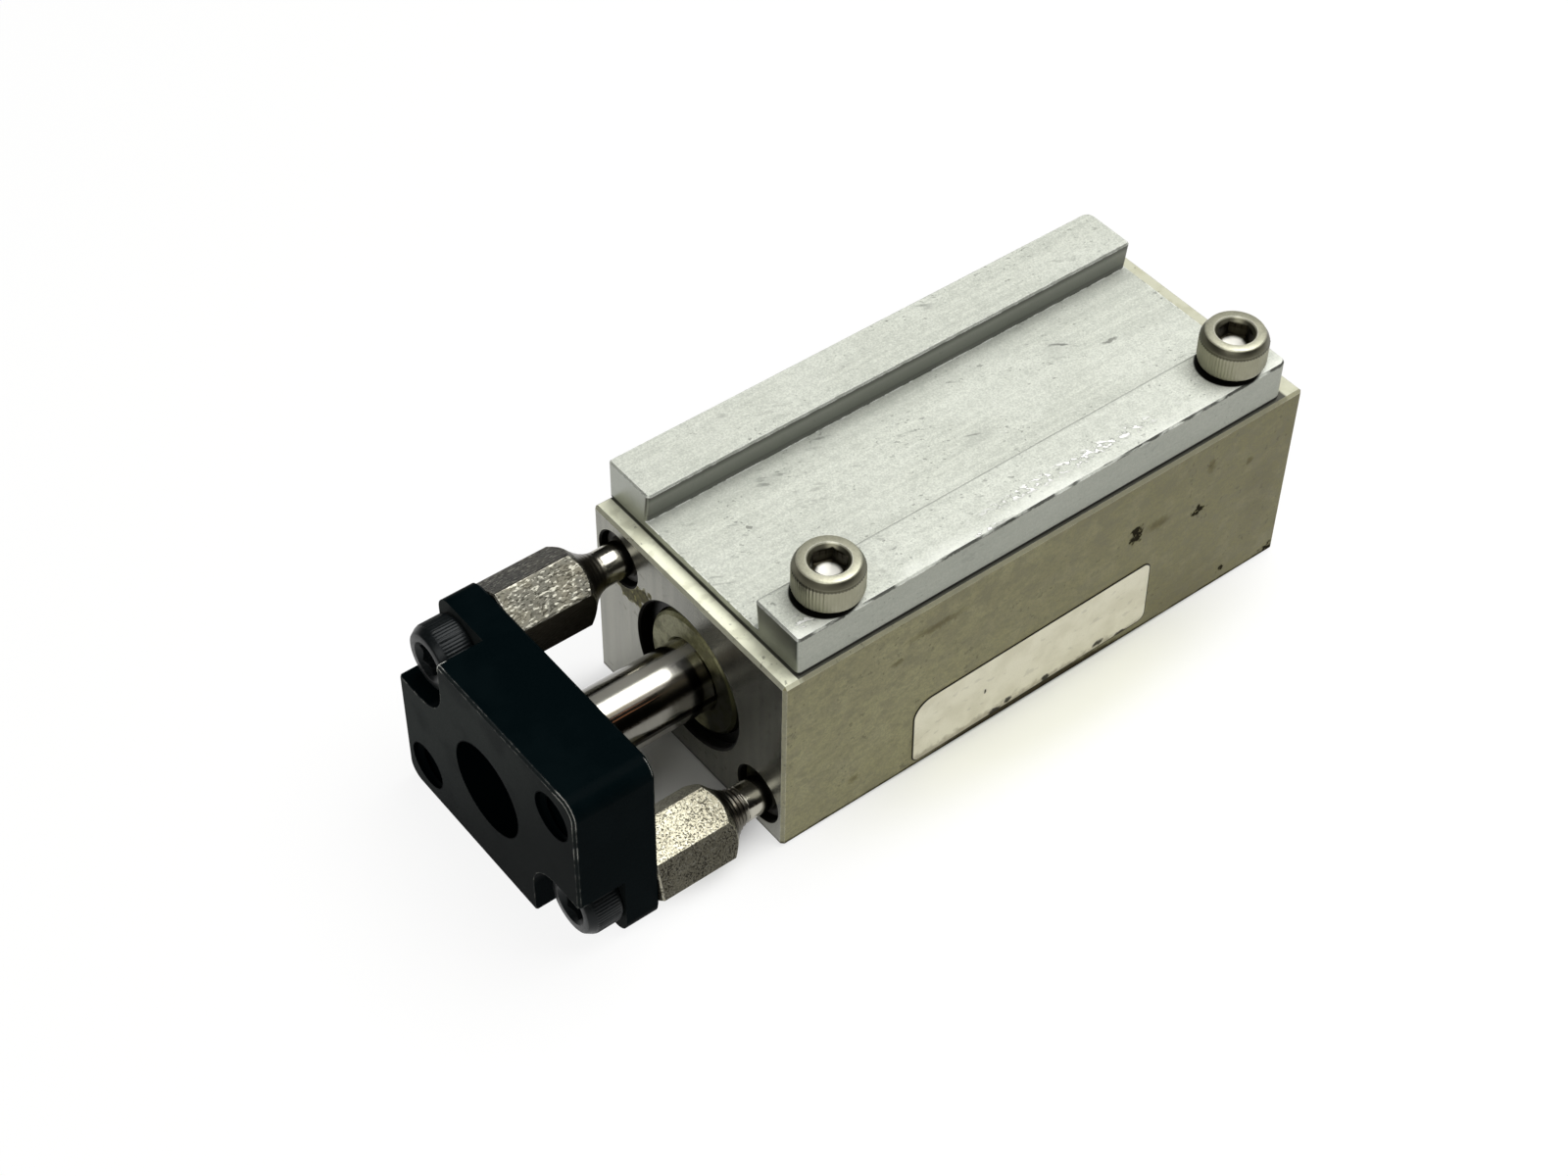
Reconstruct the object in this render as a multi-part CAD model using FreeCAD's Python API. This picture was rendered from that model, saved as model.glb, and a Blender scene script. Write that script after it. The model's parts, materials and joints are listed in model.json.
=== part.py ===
"""Compact guided pneumatic cylinder.

Millimetres. +X is the way the rod comes out, +Y the plain near side, +Z up, and the block stands on Z = 0.
The origin is under the middle of the whole part with the rod drawn in.
"""
import FreeCAD
import Part
import math
import os

Vector = FreeCAD.Vector

# Block
BODY_HEIGHT = 18.0
BODY_WIDTH = 23.5
BODY_EDGE_CHAMFER = 0.25
BORE_DIAMETER = 12.0
SEAT_STEP = 0.25
MOUTH_CHAMFER = 0.15
STROKE = 20.0
STOP_CLEARANCE = 0.1

# Rod cover and end cap, with their rings and seals
ROD_COVER_DEPTH = 12.0
ROD_COVER_SPIGOT = 3.0
END_CAP_DEPTH = 6.4
END_CAP_SPIGOT = 1.4
COVER_SETBACK = 0.4
COVER_NOSE_CHAMFER = 0.25
COVER_CLEARANCE = 0.02
RING_SETBACK = 1.0
RING_THICKNESS = 0.8
RING_WIDTH = 1.2
RING_GROOVE_DEPTH = 0.4
RING_CLEARANCE = 0.05
RING_NOSE_GAP = 0.15
RING_OPENING_ANGLE = 50.0
RING_OPENING_TURN = 55.0
ORING_SECTION = 1.0
ORING_GROOVE_WIDTH = 1.3
ORING_CORNER = 0.3
ORING_CLEARANCE = 0.02
COVER_LIP_CHAMFER = 0.15
ROD_SEAL_WIDTH = 0.75
ROD_SEAL_LENGTH = 2.0
ROD_SEAL_SETBACK = 1.2
ROD_SEAL_LIP = 0.6
BUMPER_THICKNESS = 1.2
BUMPER_WALL_GAP = 1.0
BUMPER_HOLE_GAP = 0.4

# Piston and rod
ROD_DIAMETER = 6.0
ROD_END_STEP = 0.5
ROD_END_CHAMFER = 0.3
ROD_RUNNING_GAP = 0.03
PISTON_LENGTH = 11.0
PISTON_RUNNING_GAP = 0.05
PISTON_STUD_STEP = 1.0
PISTON_SEAL_LENGTH = 2.2
PISTON_SEAL_DEPTH = 1.4
PISTON_SEAL_LIP = 0.7
WEAR_RING_LENGTH = 2.4
WEAR_RING_DEPTH = 0.7
PISTON_LAND = 1.5
SEAL_RUNNING_GAP = 0.02
NUT_ACROSS_FLATS = 7.0
NUT_THICKNESS = 2.2
NUT_POCKET_GAP = 0.15
NUT_POCKET_FLOOR_GAP = 0.4
THREAD_CLEARANCE = 0.02

# Guide bores, bushes and hexagon pins
GUIDE_SIDE_WALL = 0.65
GUIDE_FLOOR = 1.05
BUSH_DIAMETER = 4.8
BUSH_LENGTH = 14.0
BUSH_SETBACK = 0.6
BUSH_CLEARANCE = 0.02
BUSH_CHAMFER = 0.2
PIN_DIAMETER = 3.0
PIN_RUNNING_GAP = 0.03
PIN_OVERRUN = 3.0
PIN_BORE_SPARE = 2.0
PIN_END_CHAMFER = 0.3
PIN_HEX_FLATS = 6.0
PIN_HEX_GAP = 3.9
PIN_HEX_CHAMFER_ANGLE = 45.0
PIN_HEX_SHOULDER = 0.2
PIN_NECK_LENGTH = 2.2
UPPER_HEX_TURN = -2.5
LOWER_HEX_TURN = 14.5

# Front plate
PLATE_GAP = 11.2
PLATE_THICKNESS = 7.0
PLATE_INSET = 0.25
PLATE_CORNER_RADIUS = 1.5
PLATE_EDGE_CHAMFER = 0.2
PLATE_NOTCH_RADIUS = 3.25
PLATE_NOTCH_DEPTH = 4.0
PLATE_BORE_DIAMETER = 8.0
PLATE_BORE_DEPTH = 4.0
PLATE_TOOL_THREAD = 4.0

# Channel plate
CHANNEL_HEIGHT = 3.8
CHANNEL_FLOOR = 1.0
CHANNEL_FLANGE = 5.1
CHANNEL_UNDERCUT = 0.3
CHANNEL_NEAR_SETBACK = 0.4
CHANNEL_FRONT_SETBACK = 1.5
CHANNEL_REAR_SETBACK = 2.0
CHANNEL_EDGE_CHAMFER = 0.15
CHANNEL_FOOT_CHAMFER = 0.2
CHANNEL_CORNER_RADIUS = 0.35
CHANNEL_REAR_RADIUS = 0.8

# Cap screws of both sizes of length, all of one thread
SCREW_THREAD = 3.0
SCREW_HEAD_DIAMETER = 5.5
SCREW_HEAD_HEIGHT = 3.0
SCREW_HEAD_CHAMFER = 0.4
SCREW_SOCKET_FLATS = 2.5
SCREW_SOCKET_DEPTH = 1.5
SCREW_HOLE_GAP = 0.2
CHANNEL_SCREW_LENGTH = 8.0
CHANNEL_SCREW_FRONT_END = 4.7
CHANNEL_SCREW_REAR_END = 3.8
CHANNEL_SCREW_STANDOFF = 0.4
PLATE_SCREW_LENGTH = 8.0
TAP_SPARE = 1.3

# Air ports on the far side, and tapped holes in the underside
PORT_THREAD = 5.0
PORT_DEPTH = 4.5
PORT_DROP = 1.0
PORT_ORIFICE = 1.0
PORT_ORIFICE_OFFSET = 1.5
BASE_TAP_DEPTH = 4.5

# Places worked out from the sizes
axis_z = BODY_HEIGHT / 2
bore_radius = BORE_DIAMETER / 2
seat_radius = bore_radius + SEAT_STEP
rod_radius = ROD_DIAMETER / 2
piston_front = ROD_COVER_DEPTH + BUMPER_THICKNESS + STOP_CLEARANCE + STROKE
piston_rear = piston_front + PISTON_LENGTH
body_length = piston_rear + STOP_CLEARANCE + BUMPER_THICKNESS + END_CAP_DEPTH
front_face = (body_length - PLATE_GAP - PLATE_THICKNESS) / 2
plate_back = front_face + PLATE_GAP
plate_front = plate_back + PLATE_THICKNESS
plate_web = PLATE_THICKNESS - PLATE_NOTCH_DEPTH
guide_y = BODY_WIDTH / 2 - GUIDE_SIDE_WALL - BUSH_DIAMETER / 2
guide_z = BODY_HEIGHT / 2 - GUIDE_FLOOR - BUSH_DIAMETER / 2
bush_bore_radius = PIN_DIAMETER / 2 + PIN_RUNNING_GAP
pin_depth = BUSH_SETBACK + BUSH_LENGTH + STROKE + PIN_OVERRUN
ring_outer = seat_radius + RING_GROOVE_DEPTH - RING_CLEARANCE
ring_inner = ring_outer - RING_WIDTH
nose_radius = ring_inner - RING_NOSE_GAP
ring_back = RING_SETBACK + RING_THICKNESS
oring_depth = (ring_back + ROD_COVER_DEPTH - ROD_COVER_SPIGOT) / 2
cap_oring_depth = (ring_back + END_CAP_DEPTH - END_CAP_SPIGOT) / 2
groove_radius = seat_radius - ORING_SECTION
channel_near = BODY_WIDTH / 2 - CHANNEL_NEAR_SETBACK
channel_far = -BODY_WIDTH / 2
channel_top = BODY_HEIGHT + CHANNEL_HEIGHT
channel_back = front_face - body_length + CHANNEL_REAR_SETBACK
channel_length = body_length - CHANNEL_FRONT_SETBACK - CHANNEL_REAR_SETBACK
channel_screw_y = channel_near - CHANNEL_FLANGE / 2
channel_screw_depths = [
    CHANNEL_FRONT_SETBACK + CHANNEL_SCREW_FRONT_END,
    body_length - CHANNEL_REAR_SETBACK - CHANNEL_SCREW_REAR_END,
]
nut_pocket_radius = NUT_ACROSS_FLATS / math.sqrt(3) + NUT_POCKET_GAP
nut_pocket_depth = NUT_THICKNESS + NUT_POCKET_FLOOR_GAP


def inward(depth):
    """X of a point that lies this far behind the front face of the block."""
    return front_face - depth


def rod_x(x_low, x_high, radius, y=0.0, z=axis_z):
    """Round bar along X between two stations."""
    return Part.makeCylinder(radius, x_high - x_low, Vector(x_low, y, z), Vector(1, 0, 0))


def turned(outline, y=0.0, z=axis_z):
    """Solid of revolution about a line along X, from an outline of (x, radius) points."""
    points = [Vector(x, radius, 0) for x, radius in outline]
    face = Part.Face(Part.makePolygon(points + points[:1]))
    solid = face.revolve(Vector(0, 0, 0), Vector(1, 0, 0), 360)
    solid.translate(Vector(0, y, z))
    return solid


def tube_x(x_low, x_high, inner, outer, y=0.0, z=axis_z):
    """Plain ring or sleeve along X."""
    return turned([(x_low, inner), (x_high, inner), (x_high, outer), (x_low, outer)], y, z)


def hexagon_x(x_low, x_high, flats, turn, y=0.0, z=axis_z):
    """Hexagonal bar along X, with one flat facing the angle turn from +Y towards +Z."""
    corner = flats / math.sqrt(3)
    angles = [math.radians(turn + 30 + 60 * side) for side in range(6)]
    points = [Vector(x_low, y + corner * math.cos(a), z + corner * math.sin(a)) for a in angles]
    return Part.Face(Part.makePolygon(points + points[:1])).extrude(Vector(x_high - x_low, 0, 0))


def cap_screw(length):
    """Socket cap screw along Z: head above Z = 0, shank below."""
    head_radius = SCREW_HEAD_DIAMETER / 2
    thread_radius = SCREW_THREAD / 2
    outline = [
        (0, -length),
        (thread_radius - SCREW_HEAD_CHAMFER, -length),
        (thread_radius, -length + SCREW_HEAD_CHAMFER),
        (thread_radius, 0),
        (head_radius, 0),
        (head_radius, SCREW_HEAD_HEIGHT - SCREW_HEAD_CHAMFER),
        (head_radius - SCREW_HEAD_CHAMFER, SCREW_HEAD_HEIGHT),
        (0, SCREW_HEAD_HEIGHT),
    ]
    points = [Vector(radius, 0, z) for radius, z in outline]
    screw = Part.Face(Part.makePolygon(points + points[:1])).revolve(Vector(0, 0, 0), Vector(0, 0, 1), 360)
    socket = hexagon_x(0, SCREW_SOCKET_DEPTH, SCREW_SOCKET_FLATS, 0, 0, 0)
    socket.rotate(Vector(0, 0, 0), Vector(0, 1, 0), -90)
    socket.translate(Vector(0, 0, SCREW_HEAD_HEIGHT - SCREW_SOCKET_DEPTH))
    return screw.cut(socket)


def guide_places():
    """Centres (y, z) of the upper far guide and the lower near guide."""
    return {
        "upper": (-guide_y, axis_z + guide_z),
        "lower": (guide_y, axis_z - guide_z),
    }


def seat_cut(face_x, way, seat_depth):
    """Cover seat with its ring groove and chamfered mouth, going from an end face in the direction way."""
    def step(depth):
        return face_x + way * depth
    groove = seat_radius + RING_GROOVE_DEPTH
    outline = [
        (step(0), 0),
        (step(0), seat_radius + MOUTH_CHAMFER),
        (step(MOUTH_CHAMFER), seat_radius),
        (step(RING_SETBACK), seat_radius),
        (step(RING_SETBACK), groove),
        (step(ring_back), groove),
        (step(ring_back), seat_radius),
        (step(seat_depth), seat_radius),
        (step(seat_depth), 0),
    ]
    return turned(outline)


def port_cut(chamber_depth, way):
    """Blind tapped port in the far side, set off from its orifice, which opens into the end of a chamber."""
    radius = PORT_THREAD / 2
    start = Vector(inward(chamber_depth), -BODY_WIDTH / 2, axis_z - PORT_DROP)
    across = Vector(0, 1, 0)
    orifice = Part.makeCylinder(PORT_ORIFICE / 2, BODY_WIDTH / 2, start, across)
    centre = start + Vector(way * PORT_ORIFICE_OFFSET, 0, 0)
    port = Part.makeCylinder(radius, PORT_DEPTH, centre, across)
    mouth = Part.makeCone(radius + MOUTH_CHAMFER, radius, MOUTH_CHAMFER, centre, across)
    return port.fuse([mouth, orifice])


def cylinder_body():
    """Block with bore, cover seats, guide bores, ports and tapped holes."""
    corner = Vector(inward(body_length), -BODY_WIDTH / 2, 0)
    block = Part.makeBox(body_length, BODY_WIDTH, BODY_HEIGHT, corner)
    block = block.makeChamfer(BODY_EDGE_CHAMFER, block.Edges)
    cuts = [
        rod_x(inward(body_length), inward(0), bore_radius),
        seat_cut(inward(0), -1, ROD_COVER_DEPTH - ROD_COVER_SPIGOT),
        seat_cut(inward(body_length), 1, END_CAP_DEPTH - END_CAP_SPIGOT),
    ]
    bush_radius = BUSH_DIAMETER / 2
    for y, z in guide_places().values():
        cuts.append(rod_x(inward(pin_depth + PIN_BORE_SPARE), inward(0), bush_radius, y, z))
        mouth = [
            (inward(0), 0),
            (inward(0), bush_radius + MOUTH_CHAMFER),
            (inward(MOUTH_CHAMFER), bush_radius),
            (inward(MOUTH_CHAMFER), 0),
        ]
        cuts.append(turned(mouth, y, z))
    chamber_gap = BUMPER_THICKNESS / 2
    cuts.append(port_cut(ROD_COVER_DEPTH + chamber_gap, -1))
    cuts.append(port_cut(body_length - END_CAP_DEPTH - chamber_gap, 1))
    tap_radius = SCREW_THREAD / 2 + THREAD_CLEARANCE
    tap_depth = CHANNEL_SCREW_LENGTH - CHANNEL_HEIGHT + TAP_SPARE
    for depth in channel_screw_depths:
        top = Vector(inward(depth), channel_screw_y, BODY_HEIGHT)
        cuts.append(Part.makeCylinder(tap_radius, tap_depth, top, Vector(0, 0, -1)))
        base = Vector(inward(depth), -channel_screw_y, 0)
        cuts.append(Part.makeCylinder(tap_radius, BASE_TAP_DEPTH, base, Vector(0, 0, 1)))
    return block.cut(cuts)


def rounded_corners(solid, height):
    """Solid with its upright corners rounded, more at the outer corners of its rear than elsewhere."""
    middle = channel_back + channel_length / 2

    def rear_outer(edge):
        place = edge.CenterOfMass
        inset = min(abs(place.y - channel_near), abs(place.y - channel_far))
        return place.x < middle and inset < CHANNEL_FLANGE / 2

    def corners(wanted):
        upright = [edge for edge in solid.Edges if edge.BoundBox.ZLength > height / 2]
        return [edge for edge in upright if rear_outer(edge) == wanted]
    solid = solid.makeFillet(CHANNEL_REAR_RADIUS, corners(True))
    return solid.makeFillet(CHANNEL_CORNER_RADIUS, corners(False))


def channel_flange(outer_y, way):
    """Flange that leans over the floor a little, with rounded end corners and broken top edges."""
    floor_z = BODY_HEIGHT + CHANNEL_FLOOR
    inner_y = outer_y + way * CHANNEL_FLANGE
    section = [
        Vector(channel_back, outer_y, floor_z),
        Vector(channel_back, inner_y - way * CHANNEL_UNDERCUT, floor_z),
        Vector(channel_back, inner_y, channel_top),
        Vector(channel_back, outer_y, channel_top),
    ]
    flange = Part.Face(Part.makePolygon(section + section[:1])).extrude(Vector(channel_length, 0, 0))
    flange = rounded_corners(flange, CHANNEL_HEIGHT - CHANNEL_FLOOR)
    top = max(flange.Faces, key=lambda face: face.CenterOfMass.z)
    return flange.makeChamfer(CHANNEL_EDGE_CHAMFER, top.Edges)


def channel_plate():
    """Dovetail channel: a thin floor with two flanges, drilled for two screws."""
    corner = Vector(channel_back, channel_far, BODY_HEIGHT)
    floor = Part.makeBox(channel_length, channel_near - channel_far, CHANNEL_FLOOR, corner)
    floor = rounded_corners(floor, CHANNEL_FLOOR)
    foot = min(floor.Faces, key=lambda face: face.CenterOfMass.z)
    floor = floor.makeChamfer(CHANNEL_FOOT_CHAMFER, foot.Edges)
    plate = floor.fuse([channel_flange(channel_near, -1), channel_flange(channel_far, 1)]).removeSplitter()
    hole_radius = SCREW_THREAD / 2 + SCREW_HOLE_GAP
    for depth in channel_screw_depths:
        top = Vector(inward(depth), channel_screw_y, channel_top)
        plate = plate.cut(Part.makeCylinder(hole_radius, CHANNEL_HEIGHT, top, Vector(0, 0, -1)))
    return plate


def channel_plate_screws():
    """Two cap screws through the near flange into the block, their heads not quite down on the flange."""
    screws = []
    for depth in channel_screw_depths:
        screw = cap_screw(CHANNEL_SCREW_LENGTH)
        screw.translate(Vector(inward(depth), channel_screw_y, channel_top + CHANNEL_SCREW_STANDOFF))
        screws.append(screw)
    return Part.Compound(screws)


def retaining_ring(x_low):
    """Open ring in its groove, with square ends either side of the opening."""
    ring = tube_x(x_low, x_low + RING_THICKNESS, ring_inner, ring_outer)
    half = math.radians(RING_OPENING_ANGLE / 2)
    reach = 2 * ring_outer
    wedge = [
        Vector(x_low, 0, 0),
        Vector(x_low, reach * math.cos(half), -reach * math.sin(half)),
        Vector(x_low, reach * math.cos(half), reach * math.sin(half)),
    ]
    gap = Part.Face(Part.makePolygon(wedge + wedge[:1])).extrude(Vector(RING_THICKNESS, 0, 0))
    gap.rotate(Vector(0, 0, 0), Vector(1, 0, 0), RING_OPENING_TURN)
    gap.translate(Vector(0, 0, axis_z))
    return ring.cut(gap)


def oring(depth):
    """Ring squeezed between a cover's groove and its seat, flat where it bears and sloped at the corners."""
    inner = groove_radius + ORING_CLEARANCE
    outer = seat_radius - ORING_CLEARANCE
    middle = inward(depth)
    side = ORING_SECTION / 2
    flat = side - ORING_CORNER
    outline = [
        (middle - flat, inner),
        (middle + flat, inner),
        (middle + side, inner + ORING_CORNER),
        (middle + side, outer - ORING_CORNER),
        (middle + flat, outer),
        (middle - flat, outer),
        (middle - side, outer - ORING_CORNER),
        (middle - side, inner + ORING_CORNER),
    ]
    return turned(outline)


def cover_outline(face_x, way, depth, spigot, oring_at):
    """Outside of a cover from its nose to its inner face, as (x, radius) points."""
    def step(inside):
        return face_x + way * inside
    body = seat_radius - COVER_CLEARANCE
    half_groove = ORING_GROOVE_WIDTH / 2
    return [
        (step(COVER_SETBACK), nose_radius - COVER_NOSE_CHAMFER),
        (step(COVER_SETBACK + COVER_NOSE_CHAMFER), nose_radius),
        (step(ring_back), nose_radius),
        (step(ring_back), body),
        (step(oring_at - half_groove), body),
        (step(oring_at - half_groove), groove_radius),
        (step(oring_at + half_groove), groove_radius),
        (step(oring_at + half_groove), body),
        (step(depth - spigot), body),
        (step(depth - spigot), bore_radius - COVER_CLEARANCE),
        (step(depth), bore_radius - COVER_CLEARANCE),
    ]


def rod_cover():
    """Bearing cover with the rod bore, the groove of the rod seal and a chamfered mouth."""
    bearing = rod_radius + ROD_RUNNING_GAP
    groove = rod_radius + ROD_SEAL_WIDTH
    groove_end = ROD_SEAL_SETBACK + ROD_SEAL_LENGTH
    outline = cover_outline(inward(0), -1, ROD_COVER_DEPTH, ROD_COVER_SPIGOT, oring_depth)
    outline += [
        (inward(ROD_COVER_DEPTH), bearing),
        (inward(groove_end), bearing),
        (inward(groove_end), groove),
        (inward(ROD_SEAL_SETBACK), groove),
        (inward(ROD_SEAL_SETBACK), bearing),
        (inward(COVER_SETBACK + COVER_LIP_CHAMFER), bearing),
        (inward(COVER_SETBACK), bearing + COVER_LIP_CHAMFER),
    ]
    return turned(outline)


def rod_seal():
    """Lip seal round the rod in the cover's groove, hollowed to a lip on its outer end."""
    outer = inward(ROD_SEAL_SETBACK + COVER_CLEARANCE)
    inner = inward(ROD_SEAL_SETBACK + ROD_SEAL_LENGTH - COVER_CLEARANCE)
    low = rod_radius + SEAL_RUNNING_GAP
    high = rod_radius + ROD_SEAL_WIDTH - COVER_CLEARANCE
    outline = [
        (inner, low),
        (outer, low),
        (outer - ROD_SEAL_LIP, (low + high) / 2),
        (outer, high),
        (inner, high),
    ]
    return turned(outline)


def end_cap():
    """Plug that closes the rear of the bore."""
    rear = inward(body_length)
    outline = cover_outline(rear, 1, END_CAP_DEPTH, END_CAP_SPIGOT, cap_oring_depth)
    outline.append((rear + END_CAP_DEPTH, 0))
    outline.append((rear + COVER_SETBACK, 0))
    return turned(outline)


def bumper(depth):
    """Rubber stop ring whose front face is at the given depth."""
    inner = rod_radius + BUMPER_HOLE_GAP
    return tube_x(inward(depth + BUMPER_THICKNESS), inward(depth), inner, bore_radius - BUMPER_WALL_GAP)


def guide_bush(y, z):
    """Plain sleeve with a chamfered mouth."""
    outer_radius = BUSH_DIAMETER / 2 - BUSH_CLEARANCE
    front = inward(BUSH_SETBACK)
    back = front - BUSH_LENGTH
    outline = [
        (back, bush_bore_radius),
        (front - BUSH_CHAMFER, bush_bore_radius),
        (front, bush_bore_radius + BUSH_CHAMFER),
        (front, outer_radius - BUSH_CHAMFER),
        (front - BUSH_CHAMFER, outer_radius),
        (back, outer_radius),
    ]
    return turned(outline, y, z)


def piston_rod():
    """Rod with a stud for the piston and a stud that screws into the front plate."""
    stud = rod_radius - PISTON_STUD_STEP
    stud_end = piston_rear - nut_pocket_depth + NUT_THICKNESS
    end_stud = rod_radius - ROD_END_STEP
    end_x = plate_front - PLATE_BORE_DEPTH
    outline = [
        (inward(stud_end), 0),
        (inward(stud_end), stud - ROD_END_CHAMFER),
        (inward(stud_end - ROD_END_CHAMFER), stud),
        (inward(piston_front), stud),
        (inward(piston_front), rod_radius),
        (plate_back, rod_radius),
        (plate_back, end_stud),
        (end_x - ROD_END_CHAMFER, end_stud),
        (end_x, end_stud - ROD_END_CHAMFER),
        (end_x, 0),
    ]
    return turned(outline)


def piston_groove_starts():
    """Depths where the wear ring groove and the seal groove start, behind the piston's front face."""
    wear = piston_front + PISTON_LAND
    seal = wear + WEAR_RING_LENGTH + PISTON_LAND
    return wear, seal


def piston():
    """Piston with two grooves and a rear pocket for its nut."""
    outer = bore_radius - PISTON_RUNNING_GAP
    hole = rod_radius - PISTON_STUD_STEP + THREAD_CLEARANCE
    wear, seal = piston_groove_starts()
    outline = [
        (inward(piston_front), hole),
        (inward(piston_front), outer),
        (inward(wear), outer),
        (inward(wear), outer - WEAR_RING_DEPTH),
        (inward(wear + WEAR_RING_LENGTH), outer - WEAR_RING_DEPTH),
        (inward(wear + WEAR_RING_LENGTH), outer),
        (inward(seal), outer),
        (inward(seal), outer - PISTON_SEAL_DEPTH),
        (inward(seal + PISTON_SEAL_LENGTH), outer - PISTON_SEAL_DEPTH),
        (inward(seal + PISTON_SEAL_LENGTH), outer),
        (inward(piston_rear), outer),
        (inward(piston_rear), nut_pocket_radius),
        (inward(piston_rear - nut_pocket_depth), nut_pocket_radius),
        (inward(piston_rear - nut_pocket_depth), hole),
    ]
    return turned(outline)


def piston_wear_ring():
    """Guide strip that fills its groove and stands a little proud of the piston."""
    wear = piston_groove_starts()[0]
    inner = bore_radius - PISTON_RUNNING_GAP - WEAR_RING_DEPTH
    outer = bore_radius - SEAL_RUNNING_GAP
    return tube_x(inward(wear + WEAR_RING_LENGTH), inward(wear), inner, outer)


def piston_seal():
    """Lip seal of the piston, hollowed to a lip on its rear side."""
    start = piston_groove_starts()[1]
    low = bore_radius - PISTON_RUNNING_GAP - PISTON_SEAL_DEPTH
    high = bore_radius - SEAL_RUNNING_GAP
    front = inward(start)
    back = inward(start + PISTON_SEAL_LENGTH)
    outline = [
        (front, low),
        (front, high),
        (back, high),
        (back + PISTON_SEAL_LIP, (low + high) / 2),
        (back, low),
    ]
    return turned(outline)


def piston_nut():
    """Nut on the rod's stud, inside the piston's rear pocket."""
    seat = inward(piston_rear - nut_pocket_depth)
    nut = hexagon_x(seat - NUT_THICKNESS, seat, NUT_ACROSS_FLATS, 0)
    hole = rod_radius - PISTON_STUD_STEP + THREAD_CLEARANCE
    return nut.cut(rod_x(seat - NUT_THICKNESS, seat, hole))


def guide_pin(y, z, turn):
    """Pin turned from hexagon bar: tapped hexagon, flared neck and smooth pin in one piece."""
    radius = PIN_DIAMETER / 2
    hex_end = inward(-PIN_HEX_GAP)
    corner = PIN_HEX_FLATS / math.sqrt(3)
    end_radius = PIN_HEX_FLATS / 2 - PIN_HEX_SHOULDER
    chamfer_length = (corner - end_radius) / math.tan(math.radians(PIN_HEX_CHAMFER_ANGLE))
    bar = hexagon_x(hex_end, plate_back, PIN_HEX_FLATS, turn, y, z)
    turned_end = [
        (hex_end, 0),
        (hex_end, end_radius),
        (hex_end + chamfer_length, corner),
        (plate_back, corner),
        (plate_back, 0),
    ]
    head = bar.common(turned(turned_end, y, z))
    pin_end = inward(pin_depth)
    stem = turned([
        (pin_end, 0),
        (pin_end, radius - PIN_END_CHAMFER),
        (pin_end + PIN_END_CHAMFER, radius),
        (hex_end + PIN_END_CHAMFER, radius),
        (hex_end + PIN_END_CHAMFER, 0),
    ], y, z)
    pin = head.fuse([stem, flared_neck(hex_end, radius, end_radius, y, z)]).removeSplitter()
    tap_radius = SCREW_THREAD / 2 + THREAD_CLEARANCE
    tap_depth = PLATE_SCREW_LENGTH - plate_web + TAP_SPARE
    return pin.cut(rod_x(plate_back - tap_depth, plate_back, tap_radius, y, z))


def flared_neck(hex_end, radius, end_radius, y, z):
    """Neck that leaves the smooth pin tangentially and curves out to the end of the hexagon."""
    rise = end_radius - radius
    arc_radius = (PIN_NECK_LENGTH ** 2 + rise ** 2) / (2 * rise)
    start = hex_end - PIN_NECK_LENGTH
    sweep = math.asin(PIN_NECK_LENGTH / arc_radius) / 2
    low = Vector(start, radius, 0)
    half_way = Vector(start + arc_radius * math.sin(sweep), radius + arc_radius * (1 - math.cos(sweep)), 0)
    high = Vector(hex_end, end_radius, 0)
    edges = [
        Part.Arc(low, half_way, high).toShape(),
        Part.LineSegment(high, Vector(hex_end, 0, 0)).toShape(),
        Part.LineSegment(Vector(hex_end, 0, 0), Vector(start, 0, 0)).toShape(),
        Part.LineSegment(Vector(start, 0, 0), low).toShape(),
    ]
    neck = Part.Face(Part.Wire(edges)).revolve(Vector(0, 0, 0), Vector(1, 0, 0), 360)
    neck.translate(Vector(0, y, z))
    return neck


def notch_cut(y, z):
    """Corner notch from the front, open to the two outer sides, with its inner corner round the screw."""
    floor_x = plate_back + plate_web
    out_y = math.copysign(1, y)
    out_z = math.copysign(1, z - axis_z)
    radius = PLATE_NOTCH_RADIUS
    diagonal = radius * math.sqrt(0.5)
    past = BODY_WIDTH

    def point(along_y, along_z):
        return Vector(floor_x, y + out_y * along_y, z + out_z * along_z)
    corners = [
        point(0, -radius),
        point(past, -radius),
        point(past, past),
        point(-radius, past),
        point(-radius, 0),
    ]
    inner_corner = Part.Arc(corners[-1], point(-diagonal, -diagonal), corners[0]).toShape()
    sides = [Part.LineSegment(start, end).toShape() for start, end in zip(corners, corners[1:])]
    return Part.Face(Part.Wire(sides + [inner_corner])).extrude(Vector(PLATE_NOTCH_DEPTH, 0, 0))


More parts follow.
